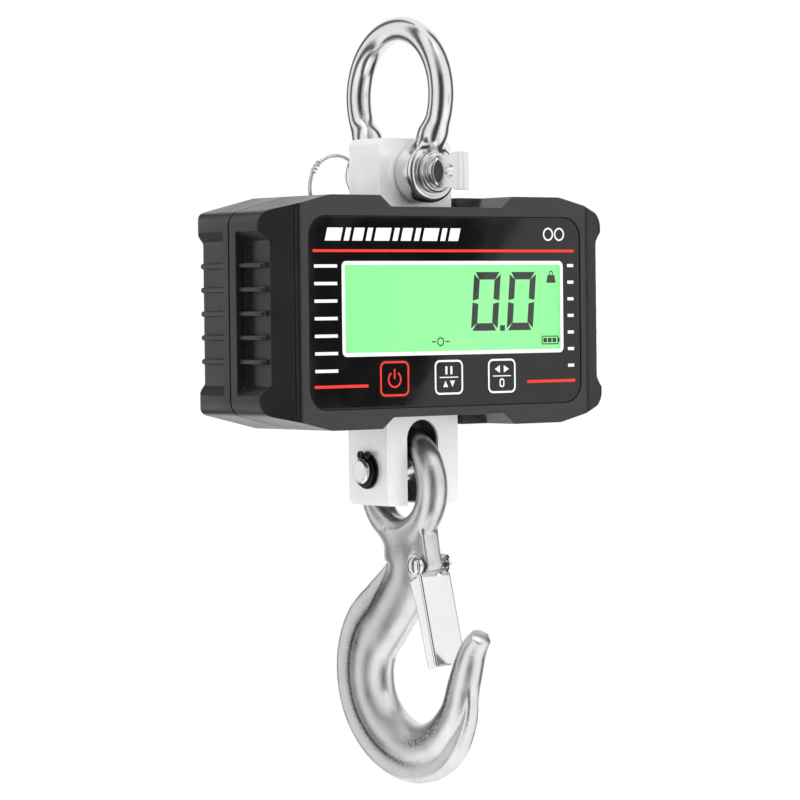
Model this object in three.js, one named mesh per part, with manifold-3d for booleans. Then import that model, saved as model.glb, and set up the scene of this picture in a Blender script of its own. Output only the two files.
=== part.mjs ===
// Digital crane scale: bow shackle with screw pin, S-beam load cell, two-part housing with an
// illuminated display and membrane keys, clevis pin and an eye hook with a spring latch.
// Millimetres, +Z up, display facing -Y. The origin is the suspension point: the crown of the
// shackle bow, where the crane's hook bears. The group `frame` moves everything so that it can
// be drawn about the middle of the housing.

import * as THREE from 'three';
import { mergeVertices } from 'three/addons/utils/BufferGeometryUtils.js';
import Module from 'manifold-3d';

const wasm = await Module();
wasm.setup();

// ---------------------------------------------------------------- driving dimensions

const SUSPENSION_Z = 129.2;      // crown of the bow above the middle of the housing
const GAP = 0.3;                 // air between pieces that rest on each other

// housing
const FRONT_Y = -35.9;
const BACK_Y = 24;
const SEAM_Y = -3.8;
const HALF_HEIGHT = 54.5;
const FLAT_HALF_WIDTH = 69.5;    // the top and bottom are level this far from the middle
const FRONT_HALF_WIDTH = 85.9;   // flat front face
const HALF_WIDTH = 104.2;        // over the side bumpers
const SHOULDER_Z = 46.2;         // where the sloping top meets the side
const CORNER = 5;
const WALL = 3;
const FRONT_WALL = 4;
const RECESS_X = 99;             // floor of the finger recess in each side
const RECESS_HALF = 33;
const RECESS_RIM_HALF = 38;
const RECESS_FRONT = [-50, -9.3];
const RECESS_REAR = [1, 40];        // runs out through the back
const RIB_PITCH = 11.1;
const RIB_WIDTH = 2.4;
const NOTCH_Z = 49.2;            // floor of the notch under each shackle ear
const NOTCH_HALF = 33.5;
const NOTCH_SLOPE = 6.5 / 5.3;
const NECK_HALF_X = 24.5;        // opening that the load cell passes through
const NECK_TOP_Y = 15;
const NECK_BOTTOM_Y = 17.6;
const SHELL_SCREW = [88, 38];

// front panel, display and keys
const PANEL = { x: 0.3, z: -0.1, halfX: 82.2, halfZ: 44.6, corner: 9.5 };
const PANEL_FRONT = -35.5;
const PANEL_BACK = -34.3;
const RECESS_FLOOR_Y = -34;
const WINDOW = { x: 4.4, z: 1.6, halfX: 67.3, halfZ: 22.1, corner: 2.5 };
const GLASS = { x: 4.4, z: 1.6, halfX: 69.8, halfZ: 23.6, corner: 1 };
const KEY_X = { power_key: -32.6, hold_key: 0, tare_key: 32.6 };
const KEY_Z = -31.2;
const KEY = { halfX: 8.8, halfZ: 8.4, corner: 3.2 };
const KEY_STEM_R = 3;
const BOARD_Y = [-24.6, -23];
const BOARD_SCREW = [76, 40];

// load cell
const CELL_HALF_X = 21.7;
const LUG_HALF_Y = 12;
const LUG_TOP = 82.7;
const CLEVIS_HALF_Y = 15;
const CLEVIS_BOTTOM = -92.4;
const CLEVIS_SLOT_HALF = 9.4;
const CLEVIS_SLOT_APEX = -51.5;
const BEAM_HALF_Z = 42;

// shackle
const PIN_Z = 66;
const PIN_R = 8;
const ROD_R = 6.3;
const BOW_R = 31.3;
const EAR_R = 14.4;
const EAR_Y = [13, 26];
const COLLAR = { r: 10, y: [-29.2, -26.3] };
const TAB = { y: [-48.6, -29.2], half: 7.7, flare: 9, thick: 6.4, holeR: 3.35, holeY: -41.4 };
const PIN_TAIL = { r: 6.3, y: [26.6, 36.8] };
const RING_R = 15.9;
const RING_WIRE_R = 1;
const RING_Y = 31.5;
const RING_TILT = THREE.MathUtils.degToRad(21.8);  // the cross-hole leans this far from upright

// clevis pin and hook
const CLEVIS_PIN_Z = -75.8;
const CLEVIS_PIN_R = 6;
const CLEVIS_PIN_HALF = 27;
const GROOVE = [23.2, 24.6];
const EYE_R = 22;
const EYE_SECTION_R = 7.4;
const EYE_Z = CLEVIS_PIN_Z + CLEVIS_PIN_R - (EYE_R - EYE_SECTION_R) + GAP;
const HOOK_BOTTOM_Z = -227;

// latch
const LATCH_PIN = new THREE.Vector2(-19, -121);
const LATCH_PIN_R = 2.4;
const LATCH_HALF_X = 9.4;
const LATCH_SHEET = 1.2;
const LATCH_DEPTH = 8;
const LATCH_TOP = new THREE.Vector2(-24, -126);
const LATCH_END = new THREE.Vector2(-35.2, -168);
const LATCH_LEAN = THREE.MathUtils.degToRad(20); // lean of the open latch towards the throat

// battery compartment and charging port, in the back
const DOOR = { x: 56, z: -9, halfX: 26.7, halfZ: 32.7, corner: 4 };
const BAY = { halfX: 19, halfZ: 26 };
const PORT = { x: -60, z: -20 };

// ---------------------------------------------------------------- solids and placing

const frame = new THREE.Group();
const assembly = new THREE.Group();
frame.position.z = -SUSPENSION_Z;
assembly.add(frame);

function material(color, roughness, metalness) {
  return new THREE.MeshStandardMaterial({ color, roughness, metalness });
}

const FINISH = {
  steel: material(0xc9ccd0, 0.2, 1),
  forged: material(0xb9bcbf, 0.42, 1),
  sheet: material(0xdedfe0, 0.15, 1),
  aluminium: material(0xe4e4e2, 0.45, 0.6),
  black: material(0x232426, 0.5, 0),
  blackened: material(0x151515, 0.35, 0.8),
  panel: material(0x08090a, 0.08, 0),
  lens: material(0xd8ffdc, 0.05, 0),
  display: material(0x8cf598, 0.3, 0),
  white: material(0xf1f1ee, 0.5, 0),
  board: material(0x1d6b3c, 0.45, 0.1),
  rubber: material(0x191919, 0.85, 0),
  battery: material(0x2b5fa8, 0.4, 0),
  foil: material(0xc98a3a, 0.4, 0.3),
};

function solid(geometry) {
  const bare = geometry.clone();
  bare.deleteAttribute('normal');
  bare.deleteAttribute('uv');
  const merged = mergeVertices(bare, 1e-4);
  return new wasm.Manifold(new wasm.Mesh({
    numProp: 3,
    vertProperties: new Float32Array(merged.attributes.position.array),
    triVerts: new Uint32Array(merged.index.array),
  }));
}

function toGeometry(manifold) {
  const mesh = manifold.getMesh();
  const geometry = new THREE.BufferGeometry();
  geometry.setAttribute('position', new THREE.BufferAttribute(new Float32Array(mesh.vertProperties), 3));
  geometry.setIndex(new THREE.BufferAttribute(new Uint32Array(mesh.triVerts), 1));
  return geometry;
}

function place(name, shape, finish) {
  const geometry = shape.isBufferGeometry ? shape : toGeometry(shape);
  const mesh = new THREE.Mesh(geometry, finish);
  mesh.name = name;
  frame.add(mesh);
  return mesh;
}

// A flat outline becomes a prism. Its own x and y run along the two axes that follow.
const BASIS = {
  X: [new THREE.Vector3(0, 1, 0), new THREE.Vector3(0, 0, 1), new THREE.Vector3(1, 0, 0)],
  Y: [new THREE.Vector3(1, 0, 0), new THREE.Vector3(0, 0, 1), new THREE.Vector3(0, -1, 0)],
  Z: [new THREE.Vector3(1, 0, 0), new THREE.Vector3(0, 1, 0), new THREE.Vector3(0, 0, 1)],
};

function prism(axis, outline, from, to, curveSegments = 3) {
  const geometry = new THREE.ExtrudeGeometry(outline, {
    depth: to - from, bevelEnabled: false, steps: 1, curveSegments,
  });
  geometry.applyMatrix4(new THREE.Matrix4().makeBasis(...BASIS[axis]));
  const shift = axis === 'Y' ? [0, to, 0] : [axis === 'X' ? from : 0, 0, axis === 'Z' ? from : 0];
  geometry.translate(...shift);
  return solid(geometry);
}

function block(x, y, z) {
  const geometry = new THREE.BoxGeometry(x[1] - x[0], y[1] - y[0], z[1] - z[0]);
  geometry.translate((x[0] + x[1]) / 2, (y[0] + y[1]) / 2, (z[0] + z[1]) / 2);
  return solid(geometry);
}

// A turned piece: [distance along the axis, radius] pairs, closed on the axis at both ends.
function turned(axis, profile, centre = [0, 0, 0], sides = 20) {
  const ends = [[profile[0][0], 0], ...profile, [profile[profile.length - 1][0], 0]];
  const points = ends.map(([along, radius]) => new THREE.Vector2(radius, along));
  const geometry = new THREE.LatheGeometry(points, sides);
  if (axis === 'X') geometry.rotateZ(-Math.PI / 2);
  if (axis === 'Z') geometry.rotateX(Math.PI / 2);
  geometry.translate(...centre);
  return solid(geometry);
}

function rod(axis, radius, from, to, centre = [0, 0, 0], sides = 20) {
  return turned(axis, [[from, radius], [to, radius]], centre, sides);
}

// A polygon whose corners [x, y, radius] are rounded.
function rounded(corners, shape = new THREE.Shape()) {
  const point = (corner) => new THREE.Vector2(corner[0], corner[1]);
  corners.forEach((corner, i) => {
    const here = point(corner);
    const before = point(corners[(i + corners.length - 1) % corners.length]);
    const after = point(corners[(i + 1) % corners.length]);
    const radius = corner[2] || 0;
    const enter = here.clone().add(before.sub(here).setLength(radius));
    const leave = here.clone().add(after.sub(here).setLength(radius));
    if (i === 0) shape.moveTo(enter.x, enter.y);
    else shape.lineTo(enter.x, enter.y);
    if (radius) shape.quadraticCurveTo(here.x, here.y, leave.x, leave.y);
  });
  shape.closePath();
  return shape;
}

function roundedRectangle({ x = 0, z = 0, halfX, halfZ, corner = 0 }, grow = 0) {
  const w = halfX + grow;
  const h = halfZ + grow;
  const r = Math.max(corner + grow, 0);
  return rounded([[x - w, z - h, r], [x + w, z - h, r], [x + w, z + h, r], [x - w, z + h, r]]);
}

// A loft through stations { y, z, inPlane, thick } in the YZ plane, each an ellipse.
function loft(stations, steps, sides) {
  const route = new THREE.SplineCurve(stations.map((s) => new THREE.Vector2(s.y, s.z)));
  const sizes = new THREE.SplineCurve(stations.map((s) => new THREE.Vector2(s.inPlane, s.thick)));
  const positions = [];
  const index = [];
  for (let i = 0; i <= steps; i += 1) {
    const centre = route.getPoint(i / steps);
    const size = sizes.getPoint(i / steps);
    const tangent = route.getTangent(i / steps);
    for (let k = 0; k < sides; k += 1) {
      const angle = (2 * Math.PI * k) / sides;
      const side = size.x * Math.cos(angle);
      positions.push(size.y * Math.sin(angle), centre.x - tangent.y * side, centre.y + tangent.x * side);
    }
  }
  const ring = (i, k) => i * sides + (k % sides);
  for (let i = 0; i < steps; i += 1) {
    for (let k = 0; k < sides; k += 1) {
      index.push(ring(i, k), ring(i, k + 1), ring(i + 1, k + 1));
      index.push(ring(i, k), ring(i + 1, k + 1), ring(i + 1, k));
    }
  }
  for (let k = 1; k < sides - 1; k += 1) {
    index.push(ring(0, 0), ring(0, k + 1), ring(0, k));
    index.push(ring(steps, 0), ring(steps, k), ring(steps, k + 1));
  }
  const geometry = new THREE.BufferGeometry();
  geometry.setAttribute('position', new THREE.BufferAttribute(new Float32Array(positions), 3));
  geometry.setIndex(index);
  return solid(geometry);
}

function ellipseOutline(halfX, halfY, sides) {
  return new THREE.Shape(Array.from({ length: sides }, (_, k) => {
    const angle = (2 * Math.PI * k) / sides;
    return new THREE.Vector2(halfX * Math.cos(angle), halfY * Math.sin(angle));
  }));
}

function tube(points, radius, steps, sides = 8) {
  const path = new THREE.CatmullRomCurve3(points.map((p) => new THREE.Vector3(...p)));
  return solid(new THREE.ExtrudeGeometry(ellipseOutline(radius, radius, sides), {
    steps, extrudePath: path, bevelEnabled: false,
  }));
}

// ---------------------------------------------------------------- shackle

function shackleBow() {
  const centreZ = SUSPENSION_Z + ROD_R - BOW_R;
  const earY = (EAR_Y[0] + EAR_Y[1]) / 2;
  const points = [];
  for (let degrees = -38; degrees <= 218; degrees += 16) {
    const angle = THREE.MathUtils.degToRad(degrees);
    points.push([0, BOW_R * Math.cos(angle), centreZ + BOW_R * Math.sin(angle)]);
  }
  points.unshift([0, earY, PIN_Z + 2], [0, earY - 0.7, PIN_Z + 9]);
  points.push([0, -earY + 0.7, PIN_Z + 9], [0, -earY, PIN_Z + 2]);
  let bow = tube(points, ROD_R, 30, 10);
  for (const side of [-1, 1]) {
    const span = [EAR_Y[0] * side, EAR_Y[1] * side].sort((a, b) => a - b);
    bow = bow.add(turned('Y', [
      [span[0], EAR_R - 1.2], [span[0] + 1.2, EAR_R], [span[1] - 1.2, EAR_R], [span[1], EAR_R - 1.2],
    ], [0, 0, PIN_Z]));
    bow = bow.subtract(rod('Y', PIN_R + 0.2, span[0] - 5, span[1] + 5, [0, 0, PIN_Z]));
  }
  return bow;
}

function ringTangent() {
  return new THREE.Vector3(-Math.sin(RING_TILT), 0, Math.cos(RING_TILT));
}

function shacklePin() {
  let pin = turned('Y', [
    [COLLAR.y[0] - 1, PIN_R - 1], [COLLAR.y[0], PIN_R], [COLLAR.y[0], COLLAR.r], [COLLAR.y[1], COLLAR.r],
    [COLLAR.y[1], PIN_R], [EAR_Y[1] + 0.4, PIN_R], [EAR_Y[1] + 0.6, PIN_TAIL.r],
    [PIN_TAIL.y[1] - 0.8, PIN_TAIL.r], [PIN_TAIL.y[1], PIN_TAIL.r - 0.8],
  ], [0, 0, PIN_Z]);
  const lever = rounded([
    [TAB.y[0], PIN_Z - TAB.flare, 1.5], [TAB.y[0] + 3.5, PIN_Z - TAB.flare, 2], [-41, PIN_Z - TAB.half, 4],
    [TAB.y[1] + 0.5, PIN_Z - TAB.half], [TAB.y[1] + 0.5, PIN_Z + TAB.half],
    [-41, PIN_Z + TAB.half, 4], [TAB.y[0] + 3.5, PIN_Z + TAB.flare, 2], [TAB.y[0], PIN_Z + TAB.flare, 1.5],
  ]);
  pin = pin.add(prism('X', lever, -TAB.thick / 2, TAB.thick / 2));
  pin = pin.subtract(rod('X', TAB.holeR, -10, 10, [0, TAB.holeY, PIN_Z], 20));
  const crossHole = new THREE.CylinderGeometry(2.7, 2.7, 30, 14);
  crossHole.rotateX(Math.PI / 2);
  crossHole.applyQuaternion(new THREE.Quaternion().setFromUnitVectors(new THREE.Vector3(0, 0, 1), ringTangent()));
  crossHole.translate(0, RING_Y, PIN_Z);
  return pin.subtract(solid(crossHole));
}

// The ring's wire runs through the middle of the pin, so its centre lies one radius away.
function ringCentre() {
  return [-RING_R * Math.cos(RING_TILT), RING_Y, PIN_Z - RING_R * Math.sin(RING_TILT)];
}

function safetyRing() {
  const hoop = new THREE.TorusGeometry(RING_R, RING_WIRE_R, 6, 30);
  hoop.rotateX(Math.PI / 2);
  let ring = solid(hoop);
  const clasp = new THREE.CylinderGeometry(1.8, 1.8, 5, 10);
  clasp.rotateZ(Math.PI / 2);
  clasp.translate(0, 0, RING_R);
  clasp.rotateY(THREE.MathUtils.degToRad(-52));
  ring = ring.add(solid(clasp));
  return ring.translate(ringCentre());
}

// ---------------------------------------------------------------- load cell

// The beam's outline is an S: one cut from each side, either side of the sensing web.
function loadCell() {
  const cut = 1.3;
  const reach = 12;
  const beam = new THREE.Shape([
    [-CELL_HALF_X, -BEAM_HALF_Z - 4], [CELL_HALF_X, -BEAM_HALF_Z - 4],
    [CELL_HALF_X, 17 - cut], [-reach, 17 - cut], [-reach, 17 + cut], [CELL_HALF_X, 17 + cut],
    [CELL_HALF_X, BEAM_HALF_Z + 4], [-CELL_HALF_X, BEAM_HALF_Z + 4],
    [-CELL_HALF_X, -17 + cut], [reach, -17 + cut], [reach, -17 - cut], [-CELL_HALF_X, -17 - cut],
  ].map(([x, z]) => new THREE.Vector2(x, z)));
  let cell = prism('Y', beam, -LUG_HALF_Y, LUG_HALF_Y);
  cell = cell.add(prism('Y', rounded([
    [-CELL_HALF_X, BEAM_HALF_Z], [CELL_HALF_X, BEAM_HALF_Z],
    [CELL_HALF_X, LUG_TOP, 3], [-CELL_HALF_X, LUG_TOP, 3],
  ]), -LUG_HALF_Y, LUG_HALF_Y, 2));
  cell = cell.add(prism('Y', rounded([
    [-CELL_HALF_X, CLEVIS_BOTTOM, 2.5], [CELL_HALF_X, CLEVIS_BOTTOM, 2.5],
    [CELL_HALF_X, -BEAM_HALF_Z], [-CELL_HALF_X, -BEAM_HALF_Z],
  ]), -CLEVIS_HALF_Y, CLEVIS_HALF_Y, 2));
  const slotCentre = CLEVIS_SLOT_APEX - CLEVIS_SLOT_HALF;
  cell = cell.subtract(rod('Y', CLEVIS_SLOT_HALF, -20, 20, [0, 0, slotCentre]));
  cell = cell.subtract(block([-CLEVIS_SLOT_HALF, CLEVIS_SLOT_HALF], [-20, 20], [-100, slotCentre]));
  cell = cell.subtract(rod('X', CLEVIS_PIN_R + 0.12, -30, 30, [0, 0, CLEVIS_PIN_Z]));
  cell = cell.subtract(rod('Y', PIN_R + 0.12, -20, 20, [0, 0, PIN_Z]));
  for (const side of [-1, 1]) {
    cell = cell.subtract(rod('Y', 9.5, side * 8 - 4.01, side * 8 + 4.01));
    cell = cell.subtract(rod('Y', 2.2, 5, 20, [side * 12, 0, 35], 16));
  }
  return cell;
}

function strainGauge(side) {
  const edges = [side * 4.3, side * 4.9].sort((a, b) => a - b);
  return rod('Y', 6, edges[0], edges[1], [0, 0, 0], 20);
}

function gaugeCover(side) {
  const edges = [side * 10.2, side * 11.8].sort((a, b) => a - b);
  return rod('Y', 9.2, edges[0], edges[1], [0, 0, 0], 28);
}

// ---------------------------------------------------------------- housing

const SLOPE = (HALF_HEIGHT - SHOULDER_Z) / (HALF_WIDTH - FLAT_HALF_WIDTH);

// Corners of the front view's upper right quarter, drawn `inset` inside the outer face.
function shoulder(inset, halfWidth) {
  const drop = inset * Math.hypot(1, SLOPE);
  const kneeX = FLAT_HALF_WIDTH + (inset - drop) / SLOPE;
  const side = halfWidth - inset;
  const sideZ = HALF_HEIGHT - drop - SLOPE * (side - FLAT_HALF_WIDTH);
  return { knee: [kneeX, HALF_HEIGHT - inset], side: [side, sideZ] };
}

function housingOutline(inset, halfWidth = HALF_WIDTH) {
  const { knee, side } = shoulder(inset, halfWidth);
  const corner = Math.max(CORNER - inset, 1);
  const right = [[knee[0], -knee[1], 3], [side[0], -side[1], corner], [side[0], side[1], corner],
    [knee[0], knee[1], 3]];
  const left = right.map(([x, z, r]) => [-x, z, r]).reverse();
  return rounded([...right, ...left]);
}

function planOutline() {
  const right = [[FRONT_HALF_WIDTH, FRONT_Y, 0.6], [102.3, -27.2], [HALF_WIDTH, -26.6],
    [HALF_WIDTH, BACK_Y, 6]];
  const left = right.map(([x, y, r]) => [-x, y, r]).reverse();
  return rounded([...right, ...left]);
}

function cavityPlan() {
  const right = [[83.8, FRONT_Y + FRONT_WALL], [RECESS_X - WALL, -26.6], [RECESS_X - WALL, BACK_Y - WALL]];
  const left = right.map(([x, y]) => [-x, y]).reverse();
  return rounded([...right, ...left]);
}

function notch(sign, y, grow) {
  const floor = sign * (NOTCH_Z - grow);
  const brim = sign * 62;
  const half = NOTCH_HALF + grow;
  const brimHalf = half + NOTCH_SLOPE * (62 - NOTCH_Z + grow);
  const outline = rounded([[-half, floor], [half, floor], [brimHalf, brim], [-brimHalf, brim]]);
  return prism('Y', outline, y[0], y[1]);
}

// The four notches, or the walls around them when `grow` is the wall thickness.
function notches(grow = 0) {
  const starts = { 1: 12.6 - grow, '-1': 15.6 - grow };
  return [1, -1].flatMap((sign) => [
    notch(sign, [-60, -starts[sign]], grow),
    notch(sign, [starts[sign], 60], grow),
  ]);
}

function sideRecess(side, y) {
  const reach = 10;
  const flare = (RECESS_RIM_HALF - RECESS_HALF) / (HALF_WIDTH - RECESS_X);
  const mouth = RECESS_HALF + flare * reach;
  const outline = [[RECESS_X, -RECESS_HALF], [RECESS_X + reach, -mouth], [RECESS_X + reach, mouth],
    [RECESS_X, RECESS_HALF]];
  return prism('Y', rounded(outline.map(([x, z]) => [side * x, z])), y[0], y[1]);
}

function ribs(side, y, top) {
  const inner = RECESS_X - 0.5;
  const x = [side * inner, side * top].sort((a, b) => a - b);
  return [-2, -1, 0, 1, 2].map((step) => {
    const z = step * RIB_PITCH;
    return block(x, y, [z - RIB_WIDTH / 2, z + RIB_WIDTH / 2]);
  });
}

function neckOpenings() {
  return [
    block([-NECK_HALF_X, NECK_HALF_X], [-NECK_TOP_Y, NECK_TOP_Y], [40, 60]),
    block([-NECK_HALF_X, NECK_HALF_X], [-NECK_BOTTOM_Y, NECK_BOTTOM_Y], [-60, -40]),
  ];
}

function outerBlank() {
  const body = prism('Y', housingOutline(0), FRONT_Y, BACK_Y);
  return body.intersect(prism('Z', planOutline(), -60, 60));
}

// Both shells as one hollow form, before it is parted at the seam.
function hollowHousing() {
  let cavity = prism('Y', housingOutline(WALL, RECESS_X), FRONT_Y + FRONT_WALL, BACK_Y - WALL);
  cavity = cavity.intersect(prism('Z', cavityPlan(), -60, 60));
  for (const wall of notches(WALL)) cavity = cavity.subtract(wall);
  cavity = cavity.subtract(block([-29, 29], [-19, 19], [44, 60]));
  cavity = cavity.subtract(block([-29, 29], [-21, 21], [-60, -44]));
  let body = outerBlank().subtract(cavity);
  for (const cut of [...notches(), ...neckOpenings()]) body = body.subtract(cut);
  for (const side of [-1, 1]) {
    body = body.subtract(sideRecess(side, RECESS_FRONT));
    body = body.subtract(sideRecess(side, RECESS_REAR));
  }
  return body;
}

const corners = ([x, z]) => [[x, z], [-x, z], [-x, -z], [x, -z]];
const hollow = hollowHousing();
const blank = outerBlank();

function frontShell() {
  let shell = hollow.intersect(block([-120, 120], [-60, SEAM_Y - GAP / 2], [-70, 70]));
  for (const [x, z] of corners(SHELL_SCREW)) {
    shell = shell.add(rod('Y', 5, -30, SEAM_Y - GAP / 2, [x, 0, z], 20).intersect(blank));
    shell = shell.subtract(rod('Y', 1.9, -16, 0, [x, 0, z], 12));
  }
  for (const [x, z] of corners(BOARD_SCREW)) {
    shell = shell.add(rod('Y', 3.6, FRONT_Y + 3, BOARD_Y[0] - GAP, [x, 0, z], 16));
    shell = shell.subtract(rod('Y', 1.3, BOARD_Y[0] - 6, 0, [x, 0, z], 12));
  }
  for (const side of [-1, 1]) {
    for (const rib of ribs(side, [-28.5, RECESS_FRONT[1] + 0.3], 102.3)) {
      shell = shell.add(rib.intersect(blank));
    }
  }
  shell = shell.subtract(prism('Y', roundedRectangle(PANEL, GAP), FRONT_Y - 5, RECESS_FLOOR_Y));
  shell = shell.subtract(prism('Y', roundedRectangle(GLASS, GAP), FRONT_Y, -20));
  for (const x of Object.values(KEY_X)) {
    shell = shell.subtract(rod('Y', KEY_STEM_R + 1, -40, -20, [x, 0, KEY_Z], 20));
  }
  return shell;
}

function rearShell() {
  let shell = hollow.intersect(block([-120, 120], [SEAM_Y + GAP / 2, 60], [-70, 70]));
  shell = shell.add(prism('Y', roundedRectangle({ ...DOOR, corner: 1 }, 1.3), 16, BACK_Y - 0.5));
  for (const [x, z] of corners(SHELL_SCREW)) {
    shell = shell.add(rod('Y', 5, SEAM_Y + GAP / 2, BACK_Y - 1, [x, 0, z], 16));
    shell = shell.subtract(rod('Y', 2.1, -10, 40, [x, 0, z], 12));
    shell = shell.subtract(rod('Y', 3.8, 14, 40, [x, 0, z], 16));
  }
  for (const side of [-1, 1]) {
    for (const rib of ribs(side, [RECESS_REAR[0] - 0.3, BACK_Y - 0.6], 101.2)) {
      shell = shell.add(rib);
    }
    shell = shell.add(rod('Y', 4.5, 15.3, BACK_Y - 1, [side * 52, 0, 35], 16));
    shell = shell.subtract(rod('Y', 1.7, 10, 21, [side * 52, 0, 35], 12));
  }
  shell = shell.subtract(prism('Y', roundedRectangle(DOOR, GAP), 21.7, 40));
  shell = shell.subtract(prism('Y', roundedRectangle({ ...DOOR, ...BAY, corner: 2 }), 0, 40));
  shell = shell.subtract(prism('Y', roundedRectangle({ ...DOOR, ...BAY, corner: 2 }, 2.6), 20.2, 22));
  for (const [x, z] of doorScrews()) {
    shell = shell.subtract(rod('Y', 1.6, 14.5, 40, [x, 0, z], 12));
  }
  shell = shell.add(rod('Y', 8.5, 12, BACK_Y - 1, [PORT.x, 0, PORT.z]));
  shell = shell.subtract(rod('Y', 5.8, 0, 40, [PORT.x, 0, PORT.z]));
  const capSeat = { x: PORT.x, z: PORT.z + 2, halfX: 8.6, halfZ: 10.6, corner: 4 };
  return shell.subtract(prism('Y', roundedRectangle(capSeat), 22.3, 40));
}

function doorScrews() {
  const dx = DOOR.halfX - 3.8;
  const dz = DOOR.halfZ - 3.8;
  return corners([dx, dz]).map(([x, z]) => [DOOR.x + x, DOOR.z + z]);
}

// One half of the seal along the seam: it runs inside the shells' walls, beside the neck.
function seamGasket(side) {
  const path = (inset) => {
    const { knee, side: edge } = shoulder(inset, RECESS_X);
    return [[29.3, -knee[1], 0], [knee[0], -knee[1], 2], [edge[0], -edge[1], 3.5],
      [edge[0], edge[1], 3.5], [knee[0], knee[1], 2], [29.3, knee[1], 0]];
  };
  const outline = [...path(WALL + GAP), ...path(WALL + 2).reverse()].map(([x, z, r]) => [side * x, z, r]);
  return prism('Y', rounded(outline), SEAM_Y - 1.8, SEAM_Y + 1.8);
}

function neckSeal(sign) {
  const halfY = sign > 0 ? NECK_TOP_Y : NECK_BOTTOM_Y;
  const inner = sign > 0 ? LUG_HALF_Y : CLEVIS_HALF_Y;
  const z = [sign * 45, sign * 48.8].sort((a, b) => a - b);
  const outside = NECK_HALF_X - GAP;
  return block([-outside, outside], [GAP - halfY, halfY - GAP], z).subtract(
    block([-CELL_HALF_X - GAP, CELL_HALF_X + GAP], [-inner - GAP, inner + GAP], [-60, 60]),
  );
}

// A pan-head screw along Y. `head` is the outer face of its head, `tip` the end of its thread.
function screw(x, z, head, tip, headR, shankR, headHeight = 2) {
  const way = Math.sign(tip - head);
  const profile = [
    [head, headR - 0.5], [head + way * 0.5, headR], [head + way * headHeight, headR],
    [head + way * headHeight, shankR], [tip, shankR],
  ];
  if (way < 0) profile.reverse();
  return turned('Y', profile, [x, 0, z], 10);
}

// ---------------------------------------------------------------- front panel and electronics

function facePanel() {
  let panel = prism('Y', roundedRectangle(PANEL), PANEL_FRONT, PANEL_BACK);
  panel = panel.subtract(prism('Y', roundedRectangle(WINDOW), -50, 0));
  for (const x of Object.values(KEY_X)) {
    panel = panel.subtract(prism('Y', roundedRectangle({ ...KEY, x, z: KEY_Z }, GAP), -50, 0));
  }
  return panel;
}

function key(x) {
  const cap = prism('Y', roundedRectangle({ ...KEY, x, z: KEY_Z }), PANEL_FRONT, PANEL_BACK - 0.3);
  return cap.add(rod('Y', KEY_STEM_R, PANEL_BACK - 0.5, -30.8, [x, 0, KEY_Z], 20));
}

function keySwitch(x) {
  const body = block([x - 3, x + 3], [-28, BOARD_Y[0] - GAP], [KEY_Z - 3, KEY_Z + 3]);
  return body.add(rod('Y', 1.7, -30.1, -27.5, [x, 0, KEY_Z], 16));
}

function displayHolder() {
  const outer = prism('Y', roundedRectangle(GLASS, 2.4), -31.6, -26);
  return outer.subtract(prism('Y', roundedRectangle({ ...GLASS, corner: 0 }, 0.3), -40, -28));
}

function mainBoard() {
  let board = block([-80, 80], BOARD_Y, [-44, 44]);
  for (const [x, z] of corners(BOARD_SCREW)) {
    board = board.subtract(rod('Y', 1.6, -40, 0, [x, 0, z], 12));
  }
  return board;
}

function cellBracket() {
  let plate = block([-60, 60], [LUG_HALF_Y + GAP, LUG_HALF_Y + 2.7], [29, 41]);
  for (const side of [-1, 1]) {
    plate = plate.subtract(rod('Y', 2.3, 0, 30, [side * 12, 0, 35], 16));
    plate = plate.subtract(rod('Y', 1.8, 0, 30, [side * 52, 0, 35], 12));
  }
  return plate;
}

function batteryDoor() {
  let door = prism('Y', roundedRectangle(DOOR), 22, BACK_Y);
  for (const [x, z] of doorScrews()) {
    door = door.subtract(rod('Y', 1.7, 0, 40, [x, 0, z], 12));
    door = door.subtract(rod('Y', 2.9, 23, 40, [x, 0, z], 14));
  }
  const grip = { x: DOOR.x, z: DOOR.z + DOOR.halfZ - 9, halfX: 8, halfZ: 1.2, corner: 1 };
  return door.subtract(prism('Y', roundedRectangle(grip), 23.2, 40));
}

function doorGasket() {
  const seat = { ...DOOR, ...BAY, corner: 2 };
  return prism('Y', roundedRectangle(seat, 2.3), 20.5, 21.7).subtract(
    prism('Y', roundedRectangle(seat, 0.5), 0, 40),
  );
}

function chargeJack() {
  return rod('Y', 5.4, 9, 20.5, [PORT.x, 0, PORT.z], 24)
    .subtract(rod('Y', 3, 11, 30, [PORT.x, 0, PORT.z], 20))
    .add(rod('Y', 1, 10, 20, [PORT.x, 0, PORT.z], 12));
}

// The rubber cap swings on the strap along its upper edge.
function portCap() {
  const plate = { x: PORT.x, z: PORT.z + 2, halfX: 8.2, halfZ: 10.2, corner: 3.6 };
  const cap = prism('Y', roundedRectangle(plate), 22.6, BACK_Y);
  return cap.add(rod('Y', 4.9, 21.2, 23, [PORT.x, 0, PORT.z], 24));
}

// ---------------------------------------------------------------- clevis pin and its rings

function clevisPin() {
  const grooveR = CLEVIS_PIN_R - 0.9;
  const half = [[GROOVE[0], CLEVIS_PIN_R], [GROOVE[0], grooveR], [GROOVE[1], grooveR],
    [GROOVE[1], CLEVIS_PIN_R], [CLEVIS_PIN_HALF - 0.9, CLEVIS_PIN_R], [CLEVIS_PIN_HALF, CLEVIS_PIN_R - 0.9]];
  const mirrored = half.map(([along, radius]) => [-along, radius]).reverse();
  return turned('X', [...mirrored, ...half], [0, 0, CLEVIS_PIN_Z]);
}

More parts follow.
